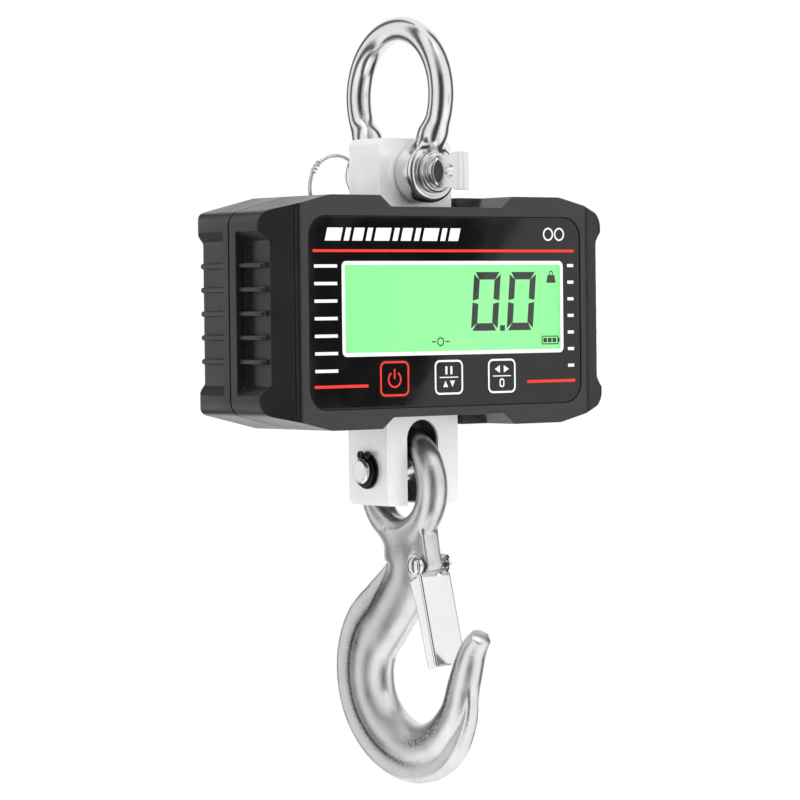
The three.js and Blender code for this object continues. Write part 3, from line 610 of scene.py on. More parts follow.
def soft_card():
    """A paper card printed dark in the middle and fading to white at its edges."""
    material, tree, shader = shader_of("dark_card", (0.95, 0.95, 0.95), 0.9)
    fade = ramp(tree, vertex_value(tree, "dark"), [(0, (0.95, 0.95, 0.95)), (1, (0.02, 0.02, 0.02))])
    feed(tree, shader, {"Base Color": fade})
    return material


STEEL = surface("polished_steel", (0.80, 0.80, 0.805), 0.19, 1.0, 0.04, 0.03, 60, 900, 0.01, 0.1)
FORGED = galvanised()
SHEET = surface("bright_sheet", (0.88, 0.88, 0.885), 0.13, 1.0, 0.03, 0.04, 50, 700, 0.008, 0.15,
                (1, 1, 0.05))
MILLED = surface("milled_aluminium", (0.92, 0.92, 0.925), 0.34, 0.35, 0.03, 0.06, 80, 1400, 0.01, 0.15,
                 (0.05, 1, 1))
ZINC = surface("zinc_screw", (0.6, 0.61, 0.63), 0.28, 1.0, 0.1, 0.08, 300, 2500, 0.01, 0.2)
OXIDE = surface("black_oxide", (0.012, 0.012, 0.013), 0.3, 0.6, 0.3, 0.1, 300, 2500, 0.01, 0.3)
PLASTIC = moulded_plastic()
PANEL = gloss_panel()
LENS = clear_lens()
DISPLAY = lit_display()
RUBBER = surface("black_rubber", (0.012, 0.012, 0.012), 0.75, 0.0, 0.2, 0.08, 200, 3000, 0.02, 0.4)
WHITE_PRINT = surface("white_print", (0.9, 0.9, 0.9), 0.25, 0.0, 0.02, 0.04, 200, 3000, 0.003, 0.1)
RED_PRINT = surface("red_print", (0.86, 0.03, 0.015), 0.25, 0.0, 0.05, 0.04, 200, 3000, 0.003, 0.1)
SEGMENT = surface("segment_black", (0.004, 0.008, 0.004), 0.3, 0.0, 0.2, 0.05, 200, 3000, 0.003, 0.1)
BOARD = surface("solder_mask", (0.03, 0.16, 0.07), 0.35, 0.0, 0.15, 0.08, 500, 3000, 0.01, 0.2)
WHITE = surface("white_plastic", (0.8, 0.8, 0.78), 0.45, 0.0, 0.03, 0.06, 100, 2000, 0.01, 0.2)
WRAP = surface("battery_wrap", (0.05, 0.16, 0.42), 0.25, 0.0, 0.08, 0.08, 100, 1200, 0.03, 0.3)
FOIL = surface("gauge_foil", (0.6, 0.38, 0.12), 0.35, 0.5, 0.1, 0.1, 300, 3000, 0.01, 0.2)
CARD = soft_card()
COMPONENT = surface("black_component", (0.02, 0.02, 0.021), 0.4, 0.0, 0.15, 0.08, 300, 2500, 0.01, 0.2)


def finish(obj, material, body, slot, *replaced):
    """Gives a piece its material and its body and hides the CAD nodes that it stands for. Its slot argument
    is not used.
    """
    obj.data.materials.clear()
    obj.data.materials.append(material)
    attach(obj, body)
    if replaced:
        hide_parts(*replaced)
    return obj


# ---- shackle

def shackle_bow():
    leg_end = (EAR_Y - 0.7, SHACKLE_PIN_Z + 9)
    turn = radians(38)
    arc_end = (BOW_R * cos(turn), BOW_Z - BOW_R * sin(turn))

    def field(p):
        x, y, z = p[:, 0], np.abs(p[:, 1]), p[:, 2]
        angle = np.arctan2(z - BOW_Z, y)
        on_arc = np.hypot(np.hypot(y, z - BOW_Z) - BOW_R, x)
        off_arc = np.sqrt((y - arc_end[0]) ** 2 + (z - arc_end[1]) ** 2 + x ** 2)
        arc = np.where(angle > -turn, on_arc, off_arc) - ROD_R
        run = np.array([leg_end[0] - arc_end[0], leg_end[1] - arc_end[1]])
        t = np.clip(((y - arc_end[0]) * run[0] + (z - arc_end[1]) * run[1]) / (run @ run), 0, 1.6)
        off_y, off_z = y - arc_end[0] - t * run[0], z - arc_end[1] - t * run[1]
        leg = np.sqrt(off_y ** 2 + off_z ** 2 + x ** 2) - ROD_R
        rod_part = smooth_min(arc, leg, 5.0)
        radial = np.hypot(x, z - SHACKLE_PIN_Z)
        edge = 2.6
        ear = rounded_box(radial - (EAR_R - edge), np.abs(y - EAR_Y) - (6.5 - edge)) - edge
        body = smooth_min(rod_part, ear, 3.5)
        return smooth_max(body, EAR_BORE_R - radial, 0.7)

    points = [(0, EAR_Y, SHACKLE_PIN_Z), (0, leg_end[0], leg_end[1])]
    for degrees in range(-36, 217, 6):
        angle = radians(degrees)
        points.append((0, BOW_R * cos(angle), BOW_Z + BOW_R * sin(angle)))
    points += [(0, -leg_end[0], leg_end[1]), (0, -EAR_Y, SHACKLE_PIN_Z)]
    rough = wire(points, ROD_R, 24, name="shackle_bow_forging")
    for low, high in mirrored(13.0, 26.0):
        join(rough, rod("Y", EAR_R, low, high, (0, 0, SHACKLE_PIN_Z)))
        cut(rough, rod("Y", EAR_BORE_R, low - 3, high + 3, (0, 0, SHACKLE_PIN_Z)))
    return finish(skin(rough, field, 0.55), STEEL, "shackle", "polished_steel", "shackle_bow")


def shackle_pin():
    """Turned pin with a stepped collar, a drilled flat thumb tab and a cross-drilled tail."""
    centre = (0, 0, SHACKLE_PIN_Z)
    head = PIN_LOW.y + 0.1
    tail = PIN_HIGH.y - 0.1
    neck = [(-33.4, 0.01), (-33.4, 6.6), (-32.6, 7.5), (-30.2, 7.6), (-29.9, 7.1), (-29.2, 7.1)]
    collar = [(-29.2, 8.9), (-28.7, 9.3), (-28.1, 9.3), (-27.9, 9.9), (-26.8, 9.9), (-26.3, 9.5),
              (-26.3, 7.9)]
    end = [(26.5, 7.9), (26.7, 6.2), (tail - 0.9, 6.2), (tail, 5.3), (tail, 0.01)]
    pin = turned("Y", fillet_profile(neck + collar + end, 0.3, 3), centre, 72, "shackle_pin_turning")
    half, flare = 7.6, 8.9
    right = [(head, flare, 1.2), (head + 3.6, flare, 2.5), (head + 7.6, half, 5), (-31.5, half)]
    left = [(y, -z, *radius) for y, z, *radius in reversed(right)]
    tab = prism("X", [(y, SHACKLE_PIN_Z + z) for y, z in rounded(left + right, 6)], -3.2, 3.2)
    dish = rod("Z", 13, 40, 90, (0, head - 12.2, 0), 96)
    cut(tab, dish, rod("X", 3.35, -10, 10, (0, -41.4, SHACKLE_PIN_Z), 40))
    bevel(tab, 0.6, 3, 35)
    tab.modifiers.clear()
    join(pin, tab)
    hole = rod("Z", 2.7, -20, 20, sides=28)
    hole.data.transform(Matrix.Translation((0, 0, -MIDDLE)))
    hole.data.transform(Matrix.Rotation(-RING_TILT, 4, "Y"))
    hole.data.transform(Matrix.Translation((0, RING_Y * MM, SHACKLE_PIN_Z * MM + MIDDLE)))
    cut(pin, hole)
    smooth(pin, 38)
    return finish(pin, STEEL, "shackle", "polished_steel", "shackle_pin")


def safety_ring():
    """A sprung wire ring whose ends lap in a small coiled clasp."""
    centre = Vector((-RING_R * cos(RING_TILT), RING_Y, SHACKLE_PIN_Z - RING_R * sin(RING_TILT)))
    clasp = radians(142)

    def at(angle, grow=0.0, aside=0.0):
        reach = RING_R + grow
        return tuple(centre + Vector((reach * cos(angle), aside, reach * sin(angle))))

    turns = [at(clasp + 2 * pi * k / 120) for k in range(4, 117)]
    coil = []
    for k in range(73):
        spin = 2 * pi * 3 * k / 72
        coil.append(at(clasp - 0.20 + 0.40 * k / 72, cos(spin), sin(spin)))
    ring = merge("safety_ring_wire", [wire(turns, 0.95), wire(coil, 0.62, 10)])
    smooth(ring, 60)
    return finish(ring, STEEL, "safety_ring", "polished_steel", "safety_ring")


# ---- load cell

def load_cell():
    x = CELL_HIGH.x
    top, bottom = CELL_HIGH.z, CELL_LOW.z
    lug_y, clevis_y = 12.0, CELL_HIGH.y
    gap, reach = 1.3, 12.0
    beam = [
        (-x, -46), (x, -46), (x, 17 - gap), (-reach, 17 - gap), (-reach, 17 + gap), (x, 17 + gap),
        (x, top - 3), (x - 3, top), (-x + 3, top), (-x, top - 3), (-x, -17 + gap), (reach, -17 + gap),
        (reach, -17 - gap), (-x, -17 - gap),
    ]
    cell = prism("Y", beam, -lug_y, lug_y, "load_cell_block")
    join(cell, prism("Y", [
        (-x + 2.5, bottom), (x - 2.5, bottom), (x, bottom + 2.5), (x, -42), (-x, -42), (-x, bottom + 2.5),
    ], -clevis_y, clevis_y))
    slot_half, apex = 9.4, -51.5
    arch = [(-slot_half, -110), (slot_half, -110)]
    arch += [(slot_half * cos(a), apex - slot_half + slot_half * sin(a))
             for a in np.linspace(0, pi, 25)]
    cut(cell, prism("Y", arch, -30, 30))
    cut(cell, rod("X", 6.12, -40, 40, (0, 0, CLEVIS_Z)), rod("Y", 8.12, -40, 40, (0, 0, SHACKLE_PIN_Z)))
    for low, high in mirrored(4.0, 20.0):
        cut(cell, rod("Y", 9.5, low, high))
        cut(cell, rod("Y", 2.2, 5, 20, (copysign(12, low), 0, 35), 24))
    bevel(cell, 0.45, 3, 30)
    return finish(cell, MILLED, "scale_body", "milled_aluminium", "load_cell")


def slot_shade_sheet():
    """A thin dark sheet on the walls of the clevis slot, on both sides of the hook's eye: painted shadow
    where the slot lies in shade.
    """
    rings = []
    for radius in (9.35, 9.0):
        arch = [(radius * cos(a), -60.9 + radius * sin(a)) for a in np.linspace(0, pi, 25)]
        rings.append([(radius, -91.5)] + arch + [(-radius, -91.5)])
    shade_sheet = prism("Y", rings[0] + rings[1][::-1], -13.6, 13.6, "slot_shade_sheet")
    cut(shade_sheet, rod("X", 6.2, -40, 40, (0, 0, CLEVIS_Z)))
    bevel(shade_sheet, 0.1, 2, 40)
    return finish(shade_sheet, COMPONENT, "scale_body", "black_component")


# ---- housing

SLOPE = (HALF_HEIGHT - SHOULDER_Z) / (HALF_WIDTH - FLAT_HALF_WIDTH)


def housing_outline(inset=0.0, half_width=HALF_WIDTH, corner=7.5):
    drop = inset * hypot(1, SLOPE)
    knee = FLAT_HALF_WIDTH + (inset - drop) / SLOPE
    side = half_width - inset
    side_z = HALF_HEIGHT - drop - SLOPE * (side - FLAT_HALF_WIDTH)
    corner = max(corner - inset, 1.0)
    top = HALF_HEIGHT - inset
    right = [(knee, -top, 12), (side, -side_z, corner), (side, side_z, corner), (knee, top, 12)]
    left = [(-a, b, r) for a, b, r in reversed(right)]
    return rounded(right + left, 6)


def plan_outline():
    right = [(FRONT_HALF_WIDTH, FRONT_Y), SIDE_CORNER, (HALF_WIDTH, SIDE_FRONT_Y), (HALF_WIDTH, BACK_Y, 5)]
    left = [(-a[0], *a[1:]) for a in reversed(right)]
    return rounded(right + left, 6)


def side_recess(side, y):
    reach = 10.0
    mouth = RECESS_HALF + (RECESS_RIM_HALF - RECESS_HALF) / (HALF_WIDTH - RECESS_X) * reach
    outline = [
        (side * RECESS_X, -RECESS_HALF, 2.5), (side * (RECESS_X + reach), -mouth),
        (side * (RECESS_X + reach), mouth), (side * RECESS_X, RECESS_HALF, 2.5),
    ]
    return prism("Y", rounded(outline, 5), y[0], y[1])


def notch(sign, y):
    rise = 13.0
    run = NOTCH_RUN / NOTCH_RISE * rise
    floor = sign * NOTCH_Z
    return prism("Y", rounded([
        (-NOTCH_HALF, floor, 2), (NOTCH_HALF, floor, 2),
        (NOTCH_HALF + run, floor + sign * rise), (-NOTCH_HALF - run, floor + sign * rise),
    ], 5), y[0], y[1])


def housing_blank(low, high, name):
    shell = prism("Y", housing_outline(), low, high, name)
    common(shell, prism("Z", plan_outline(), -80, 80))
    return shell


def hollow(shell, low, high):
    """The cavity keeps a wall behind the recesses, the notches and round the neck openings."""
    cavity = prism("Y", housing_outline(WALL, RECESS_X, 3.0), low, high)
    side = HALF_WIDTH - 8.2
    right = [(83.8, FRONT_Y + 4), (side, SIDE_FRONT_Y), (side, BACK_Y - WALL)]
    plan = right + [(-x, y) for x, y in reversed(right)]
    common(cavity, prism("Z", plan, -80, 80))
    cut(cavity, block((-50, 50), (-60, 60), (44, 60)), block((-50, 50), (-60, 60), (-60, -44)))
    return cut(shell, cavity)


def rib(side, z, y, top, front_round, back_round):
    """A finger rib with a rounded back, whose ends may round down into the recess."""
    base, half = RECESS_X - 1.5, 1.35
    section = [(base, -half)]
    for a in np.linspace(-pi / 2, pi / 2, 11):
        section.append((top - half + half * cos(a), half * sin(a)))
    section.append((base, half))
    quarter = np.linspace(0, pi / 2, 7)
    front = [(y[0] + front_round * (1 - cos(a)), 0.35 + 0.65 * sin(a)) for a in quarter]
    back = [(y[1] - back_round * (1 - cos(a)), 0.35 + 0.65 * sin(a)) for a in quarter[::-1]]
    if not front_round:
        front = [(y[0], 1)]
    if not back_round:
        back = [(y[1], 1)]
    rings = []
    for place, share in front + back:
        rings.append([(side * (base + (u - base) * share), place, z + v * (0.5 + 0.5 * share))
                      for u, v in section])
    return loft(rings)


def finger_ribs(*shape):
    return [rib(side, k * RIB_PITCH, *shape) for side in (-1, 1) for k in range(-2, 3)]


def neck_openings():
    across = (-24.5, 24.5)
    return [block(across, (-15, 15), (40, 60)), block(across, (-17.6, 17.6), (-60, -40))]


def edge_groove(side, share):
    """A fine upright groove in the slanting strip beside the front face."""
    run = np.array((SIDE_CORNER[0] - FRONT_HALF_WIDTH, SIDE_CORNER[1] - FRONT_Y))
    along = run / np.linalg.norm(run)
    outward_way = np.array((along[1], -along[0]))
    middle = np.array((FRONT_HALF_WIDTH, FRONT_Y)) + share * run
    corners = []
    for reach, depth in ((-0.45, 0.4), (0.45, 0.4), (0.25, -0.9), (-0.25, -0.9)):
        x, y = middle + along * reach + outward_way * depth
        corners.append((side * x, y))
    return prism("Z", corners, -60, 60)


def front_shell():
    shell = housing_blank(FRONT_Y, SEAM[0], "front_shell_moulding")
    hollow(shell, FRONT_Y + 4, SEAM[0] + 5)
    cut(shell, notch(1, (-60, -12.6)), notch(-1, (-60, -15.6)))
    for side in (-1, 1):
        cut(shell, side_recess(side, (-60, -9.3)))
    cut(shell, *neck_openings())
    panel = panel_outline(0.35)
    cut(shell, prism("Y", panel, FRONT_Y - 5, FRONT_Y + 1.9))
    cut(shell, prism("Y", rectangle(4.4, 1.6, 70.1, 23.9, 1), FRONT_Y, -20))
    for x in KEYS.values():
        cut(shell, rod("Y", 4, -40, -20, (x, 0, KEY_Z), 32))
    for side in (-1, 1):
        for share in (0.09, 0.19):
            cut(shell, edge_groove(side, share))
    bevel(shell, 0.9, 3, 32)
    weld(shell, 42, *finger_ribs((-26.4, -8.9), 103.0, 2.6, 0))
    return finish(shell, PLASTIC, "scale_body", "black_housing", "front_shell")


def panel_outline(grow=0.0):
    return box_outline("face_panel", 9.5 + grow, grow, 14)


def door_outline(grow=0.0):
    return box_outline("battery_door", 4, grow)


def rear_shell():
    shell = housing_blank(SEAM[1], BACK_Y, "rear_shell_moulding")
    hollow(shell, SEAM[1] - 5, BACK_Y - WALL)
    join(shell, prism("Y", door_outline(1.2), 16, BACK_Y - 0.5))
    cap_x, cap_z = centre_of("charge_port_cap")
    join(shell, rod("Y", 8.5, 12, BACK_Y - 1, (cap_x, 0, cap_z - 2)))
    cut(shell, notch(1, (12.6, 60)), notch(-1, (15.6, 60)))
    for side in (-1, 1):
        cut(shell, side_recess(side, (1, 40)))
    cut(shell, *neck_openings())
    cut(shell, prism("Y", door_outline(0.35), 21.7, 40))
    cut(shell, prism("Y", rectangle(*centre_of("battery_door"), 19, 26, 2), 0, 40))
    cut(shell, prism("Y", rectangle(cap_x, cap_z, 8.6, 10.6, 4), 22.3, 40))
    cut(shell, rod("Y", 5.8, 0, 40, (cap_x, 0, cap_z - 2)))
    for sx in (-1, 1):
        for sz in (-1, 1):
            centre = (sx * SHELL_SCREW[0], 0, sz * SHELL_SCREW[1])
            cut(shell, rod("Y", 3.8, 14, 40, centre, 32))
    bevel(shell, 1.0, 3, 32)
    weld(shell, 42, *finger_ribs((0.8, BACK_Y - 0.3), 101.9, 0, 2.2))
    return finish(shell, PLASTIC, "scale_body", "black_housing", "rear_shell")


# ---- front panel, print and keys

KEYS = {name: centre_of(name)[0] for name in ("power_key", "hold_key", "tare_key")}
KEY_LOW, KEY_HIGH = box_mm("hold_key")
KEY_Z = centre_of("hold_key")[1]
KEY_HALF = ((KEY_HIGH.x - KEY_LOW.x) / 2, (KEY_HIGH.z - KEY_LOW.z) / 2)
KEY_CORNER = 3.2
PRINT_Y = PANEL_LOW.y
PRINT_THICK = 0.06


def key_outline(x, grow=0.0):
    return rectangle(x, KEY_Z, KEY_HALF[0] + grow, KEY_HALF[1] + grow, KEY_CORNER + grow, 8)


def face_panel():
    panel = prism("Y", panel_outline(), PANEL_LOW.y, PANEL_HIGH.y, "face_panel_overlay")
    cut(panel, prism("Y", window_outline(0.3), -50, 0))
    for x in KEYS.values():
        cut(panel, prism("Y", key_outline(x, 0.12), -50, 0))
    bevel(panel, 0.25, 2, 40)
    return finish(panel, PANEL, "scale_body", "black_gloss_panel", "face_panel")


def window_outline(grow=0.0):
    return box_outline("display_window", 2.2 + grow, grow, 6)


def display_window():
    window = prism("Y", window_outline(), WINDOW_LOW.y, WINDOW_HIGH.y, "display_window_lens")
    bevel(window, 0.15, 2, 40)
    return finish(window, LENS, "scale_body", "clear_window", "display_window")


def display_glass():
    outline = box_outline("display_glass", 0.8, 0.0, 3)
    glass = bevel(prism("Y", outline, GLASS_LOW.y, GLASS_HIGH.y, "display_glass_cell"), 0.2, 2)
    return finish(glass, DISPLAY, "scale_body", "lit_display", "display_glass")


def printed(y, outline):
    """A printed mark with its face just proud of the surface at y."""
    return prism("Y", outline, y - PRINT_THICK, y + 0.02)


def frame_mark(y, outer, inner):
    """A printed outline between two loops with the same number of points."""
    rings = [[(u, level, v) for u, v in loop] for loop, level in (
        (outer, y + 0.02), (outer, y - PRINT_THICK), (inner, y - PRINT_THICK), (inner, y + 0.02))]
    return loft(rings, closed=True)


def bar(x0, x1, z0, z1, y=None):
    return printed(PRINT_Y if y is None else y, [(x0, z0), (x1, z0), (x1, z1), (x0, z1)])


def arc_mark(y, x, z, radius, thick, start, end, steps=32):
    angles = [radians(start + (end - start) * k / steps) for k in range(steps + 1)]
    outer = [(x + (radius + thick / 2) * cos(a), z + (radius + thick / 2) * sin(a)) for a in angles]
    inner = [(x + (radius - thick / 2) * cos(a), z + (radius - thick / 2) * sin(a)) for a in angles]
    return printed(y, outer + inner[::-1])


def white_print():
    marks = [frame_mark(PRINT_Y, window_outline(0.35), window_outline(-1.45))]
    for k in range(7):
        z = 21.5 - 8.07 * k
        marks += [bar(-78.8, -65.6, z - 0.75, z + 0.75), bar(74.6, 78.5, z - 0.75, z + 0.75)]
    slant = 1.6
    x = -72.5
    for width in (9, 3, 6, 3, 9, 3, 6, 3, 9, 3, 6):
        foot, head = (x, x + width), (x + width + slant, x + slant)
        marks.append(printed(PRINT_Y, [(u, 33.2) for u in foot] + [(u, 39.2) for u in head]))
        x += width + 1.9
    for x in (62.6, 69.6):
        marks.append(frame_mark(PRINT_Y, circle(x, 36.6, 3.2), circle(x, 36.6, 2.4)))
    return finish(merge("panel_print_white", marks), WHITE_PRINT, "scale_body", "white_plastic")


def red_print():
    marks = [bar(-79.5, 78.8, 27.9, 29.2), bar(-79.2, -48.1, -34.9, -33.5), bar(48.5, 79.1, -35.0, -33.6)]
    return finish(merge("panel_print_red", marks), RED_PRINT, "scale_body", "black_gloss_panel")


def key(name, x):
    """A flush key: its cap in the panel's opening and its stem down to the switch."""
    cap = prism("Y", key_outline(x, -0.12), PANEL_LOW.y, PANEL_HIGH.y - 0.3, name + "_cap")
    bevel(cap, 0.2, 2, 40)
    weld(cap, 38, rod("Y", 3, PANEL_HIGH.y - 0.5, KEY_HIGH.y, (x, 0, KEY_Z), 32))
    return finish(cap, PANEL, name, "black_gloss_panel", name)


def key_print(name, x):
    thick = 0.95
    y = PRINT_Y
    marks = [frame_mark(y, key_outline(x, -0.2), key_outline(x, -0.2 - thick))]
    material = WHITE_PRINT
    if name == "power_key":
        material = RED_PRINT
        marks.append(arc_mark(y, x, KEY_Z - 0.3, 3.6, 0.9, 125, 415))
        marks.append(bar(x - 0.45, x + 0.45, KEY_Z - 0.2, KEY_Z + 4.6))
    else:
        marks.append(bar(x - 5.6, x + 5.6, KEY_Z - 0.25, KEY_Z + 0.25))
    if name == "hold_key":
        for start, end in mirrored(0.9, 2.1):
            marks.append(bar(x + start, x + end, KEY_Z + 1.4, KEY_Z + 5.2))
        for middle, foot, tip in ((x - 2.1, KEY_Z - 4.6, KEY_Z - 1.6), (x + 2.1, KEY_Z - 1.6, KEY_Z - 4.6)):
            marks.append(printed(y, [(middle - 1.5, foot), (middle + 1.5, foot), (middle, tip)]))
    if name == "tare_key":
        for side in (-1, 1):
            base = x + side * 1.2
            corners = [(x + side * 4.4, KEY_Z + 3.3), (base, KEY_Z + 1.5), (base, KEY_Z + 5.1)]
            marks.append(printed(y, corners))
        zero = [rectangle(x, KEY_Z - 3.3, 1.5 - thin, 2.1 - thin, 1.3 - thin, 5) for thin in (0, 0.7)]
        marks.append(frame_mark(y, *zero))
    return finish(merge(name + "_print", marks), material, name, "white_plastic")


def digit_zero(x, z, width, height, y, slant=0.09, stroke=3.6):
    """A seven-segment zero, leaning right, as six separate bars."""
    def lean(points):
        return printed(y, [(u + slant * (v - z), v) for u, v in points])
    gap = 0.45
    half = stroke / 2
    left, right = x - width / 2 + half, x + width / 2 - half
    low, high, middle = z - height / 2 + half, z + height / 2 - half, z
    marks = []
    for level, sign in ((low, 1), (high, -1)):
        marks.append(lean([
            (left - half + gap + 0.4, level - sign * half), (right + half - gap - 0.4, level - sign * half),
            (right - half + 0.3, level + sign * half), (left + half - 0.3, level + sign * half)]))
    for column, sign in ((left, 1), (right, -1)):
        for bottom, top in ((low, middle), (middle, high)):
            start = bottom + gap
            end = top - gap
            lower_in = half if bottom == low else half * 0.45
            upper_in = half if top == high else half * 0.45
            marks.append(lean([
                (column - sign * half, start - (half - 0.6 if bottom == low else 0)),
                (column + sign * half, start + lower_in * 0.9),
                (column + sign * half, end - upper_in * 0.9),
                (column - sign * half, end + (half - 0.6 if top == high else 0))]))
    return marks


def display_segments():
    y = GLASS_LOW.y
    aside = 1.7
    marks = digit_zero(22.6 + aside, 4.5, 16.4, 28, y) + digit_zero(44.7 + aside, 4.5, 16.4, 28, y)
    marks.append(bar(31.2 + aside, 34.2 + aside, -9.7, -7.0, y))
    weight_x, weight_z = 63.6 + aside, 15.4
    marks.append(printed(y, [(weight_x - 3, weight_z - 2.2), (weight_x + 3, weight_z - 2.2),
                             (weight_x + 2.1, weight_z + 1.6), (weight_x - 2.1, weight_z + 1.6)]))
    marks.append(arc_mark(y, weight_x, weight_z + 2.4, 1.0, 0.5, -40, 220, 16))
    steady_x, steady_z = -5.4 + aside, -14.3
    marks.append(frame_mark(y, circle(steady_x, steady_z, 2.1), circle(steady_x, steady_z, 1.5)))
    for start, end in mirrored(3.0, 5.4):
        marks.append(bar(steady_x + start, steady_x + end, steady_z - 0.3, steady_z + 0.3, y))
    cell_x, cell_z = 62.6 + aside, -14.5
    case = rectangle(cell_x, cell_z, 5.3, 2.1, 0.5, 2)
    marks.append(frame_mark(y, case, rectangle(cell_x, cell_z, 4.8, 1.6, 0.3, 2)))
    marks.append(bar(cell_x + 5.3, cell_x + 6.1, cell_z - 0.9, cell_z + 0.9, y))
    for k in range(3):
        start = cell_x - 4.2 + 2.9 * k
        marks.append(bar(start, start + 2.3, cell_z - 1.1, cell_z + 1.1, y))
    return finish(merge("display_segments", marks), SEGMENT, "scale_body", "black_component")


# ---- back of the housing

def battery_door():
    door = prism("Y", door_outline(), DOOR_LOW.y, DOOR_HIGH.y, "battery_door_cover")
    x = centre_of("battery_door")[0]
    for level in range(5):
        z = DOOR_HIGH.z - 7 - 2.6 * level
        cut(door, prism("Y", rectangle(x, z, 9, 0.7, 0.65, 4), 23.3, 30))
    for i in range(1, 5):
        screw_x, screw_z = centre_of(f"door_screw_{i}")
        centre = (screw_x, 0, screw_z)
        cut(door, rod("Y", 2.9, 22.9, 40, centre, 32), rod("Y", 1.7, 0, 40, centre, 24))
    bevel(door, 0.35, 2, 35)
    return finish(door, PLASTIC, "scale_body", "black_housing", "battery_door")


def cross_screw(node, radius, shank):
    """A pan-head screw with a crossed recess, its head towards the back."""
    low, high = box_mm(node)
    x, z = centre_of(node)
    depth = 0.65 if node.startswith("door") else 2.0
    profile = fillet_profile([
        (low.y, 0.01), (low.y, shank - 0.5), (low.y + 0.8, shank), (high.y - depth, shank),
        (high.y - depth, radius), (high.y - 0.4, radius), (high.y, radius * 0.72), (high.y, 0.01),
    ], 0.25, 3)
    screw = turned("Y", profile, (x, 0, z), 32, node + "_turning")
    for a, b in ((radius * 0.55, 0.32), (0.32, radius * 0.55)):
        cut(screw, block((x - a, x + a), (high.y - 0.5, high.y + 1), (z - b, z + b)))
    smooth(screw, 35)
    return finish(screw, ZINC, "scale_body", "zinc_screw", node)


def port_cap():
    x, z = centre_of("charge_port_cap")
    cap = prism("Y", rectangle(x, z, 8.2, 10.2, 3.6), 22.6, CAP_HIGH.y, "port_cap_moulding")
    cut(cap, prism("Y", rectangle(x, z - 7.6, 3.2, 1.1, 1.0, 4), CAP_HIGH.y - 0.5, 30))
    bevel(cap, 0.35, 3, 35)
    weld(cap, 38, turned("Y", [(CAP_LOW.y, 4.3), (CAP_LOW.y + 0.5, 4.9), (23, 4.9)], (x, 0, z - 2), 40))
    return finish(cap, RUBBER, "port_cap", "black_rubber", "charge_port_cap")


# ---- clevis pin

def clevis_pin():
    half = CLEVIS_HIGH.x
    right = [(23.2, 6.0), (23.2, 5.1), (24.6, 5.1), (24.6, 6.0), (half - 1.0, 6.0), (half, 4.9), (half, 0.01)]
    left = [(-a, r) for a, r in reversed(right)]
    pin = turned("X", fillet_profile(left + right, 0.3, 3), (0, 0, CLEVIS_Z), 64, "clevis_pin_turning")
    smooth(pin, 35)
    return finish(pin, STEEL, "clevis_pin_set", "polished_steel", "clevis_pin")


def washer(side):
    name = "pin_washer_left" if side < 0 else "pin_washer_right"
    low, high = box_mm(name)
    ring = prism("X", circle(0, CLEVIS_Z, 8.6, 64), low.x, high.x, name + "_stamping")
    cut(ring, rod("X", 6.3, -40, 40, (0, 0, CLEVIS_Z), 64))
    bevel(ring, 0.2, 2, 40)
    return finish(ring, OXIDE, "scale_body", "black_spring_steel", name)


def circlip(side):
    """A stamped ring, widest opposite its gap, with an eye at each end."""
    name = "circlip_left" if side < 0 else "circlip_right"
    low, high = box_mm(name)
    outer, inner = [], []
    for k in range(49):
        angle = radians(90 + 14 + (332) * k / 48)
        fat = 0.5 * (1 - sin(angle))
        outer.append(((6.9 + 0.7 * fat) * cos(angle), CLEVIS_Z + (6.9 + 0.7 * fat) * sin(angle)))
        inner.append((5.35 * cos(angle), CLEVIS_Z + 5.35 * sin(angle)))
    ring = prism("X", outer + inner[::-1], low.x, high.x, name + "_stamping")
    for lug in (-1, 1):
        join(ring, rod("X", 1.95, low.x, high.x, (0, lug * 2.75, CLEVIS_Z + 7.6), 28))
    for lug in (-1, 1):
        cut(ring, rod("X", 0.8, -40, 40, (0, lug * 2.75, CLEVIS_Z + 7.9), 20))
    bevel(ring, 0.15, 2, 40)
    return finish(ring, OXIDE, "clevis_pin_set", "black_spring_steel", name)


# ---- hook and latch

HOOK_STATIONS = [
    # y, z, half width in the hook's plane, half thickness across it
    (0, EYE_Z - EYE_R + 3, 12, 6.6), (-2.5, -113, 16.5, 7.6), (-4.6, -121, 17.8, 8), (0.5, -131, 17, 8),
    (15, -146, 17.8, 8.2), (27.5, -159, 19, 8.4), (32, -175, 19.2, 8.4), (27.5, -192, 18.2, 8.4),
    (13, -206, 16.4, 8.4), (-8, -212, 14.5, 8.4), (-27, -206.5, 13.4, 8.4), (-40.5, -192, 11.2, 8.0),
    (-46, -175, 9.2, 7.5), (-51, -160.5, 6.8, 6.6), (-57.0, -153, 5.0, 5.2),
]


def latch_sweep(p):
    """Negative inside the room that the latch plate needs beside its rivet as it opens."""
    y, z = p[:, 1] - LATCH_PIN[0], p[:, 2] - LATCH_PIN[1]
    along = y * sin(LATCH_LEAN) - z * cos(LATCH_LEAN)
    away = -y * cos(LATCH_LEAN) - z * sin(LATCH_LEAN)
    sides = [1.9 - away, away - 12, 0.5 - along, along - 28, BOSS_R - np.hypot(y, z)]
    return np.maximum.reduce(sides)


def rivet_boss(p):
    """The upright boss that the latch's rivet runs through, from the eye down to the rivet."""
    low = np.array(LATCH_PIN)
    run = np.array((2.8, 14.0))
    offset = p[:, 1:3] - low
    share = np.clip(offset @ run / (run @ run), 0, 1)
    radial = np.linalg.norm(offset - share[:, None] * run, axis=1) - BOSS_R
    return smooth_max(radial, np.abs(p[:, 0]) - 5.0, 1.2)


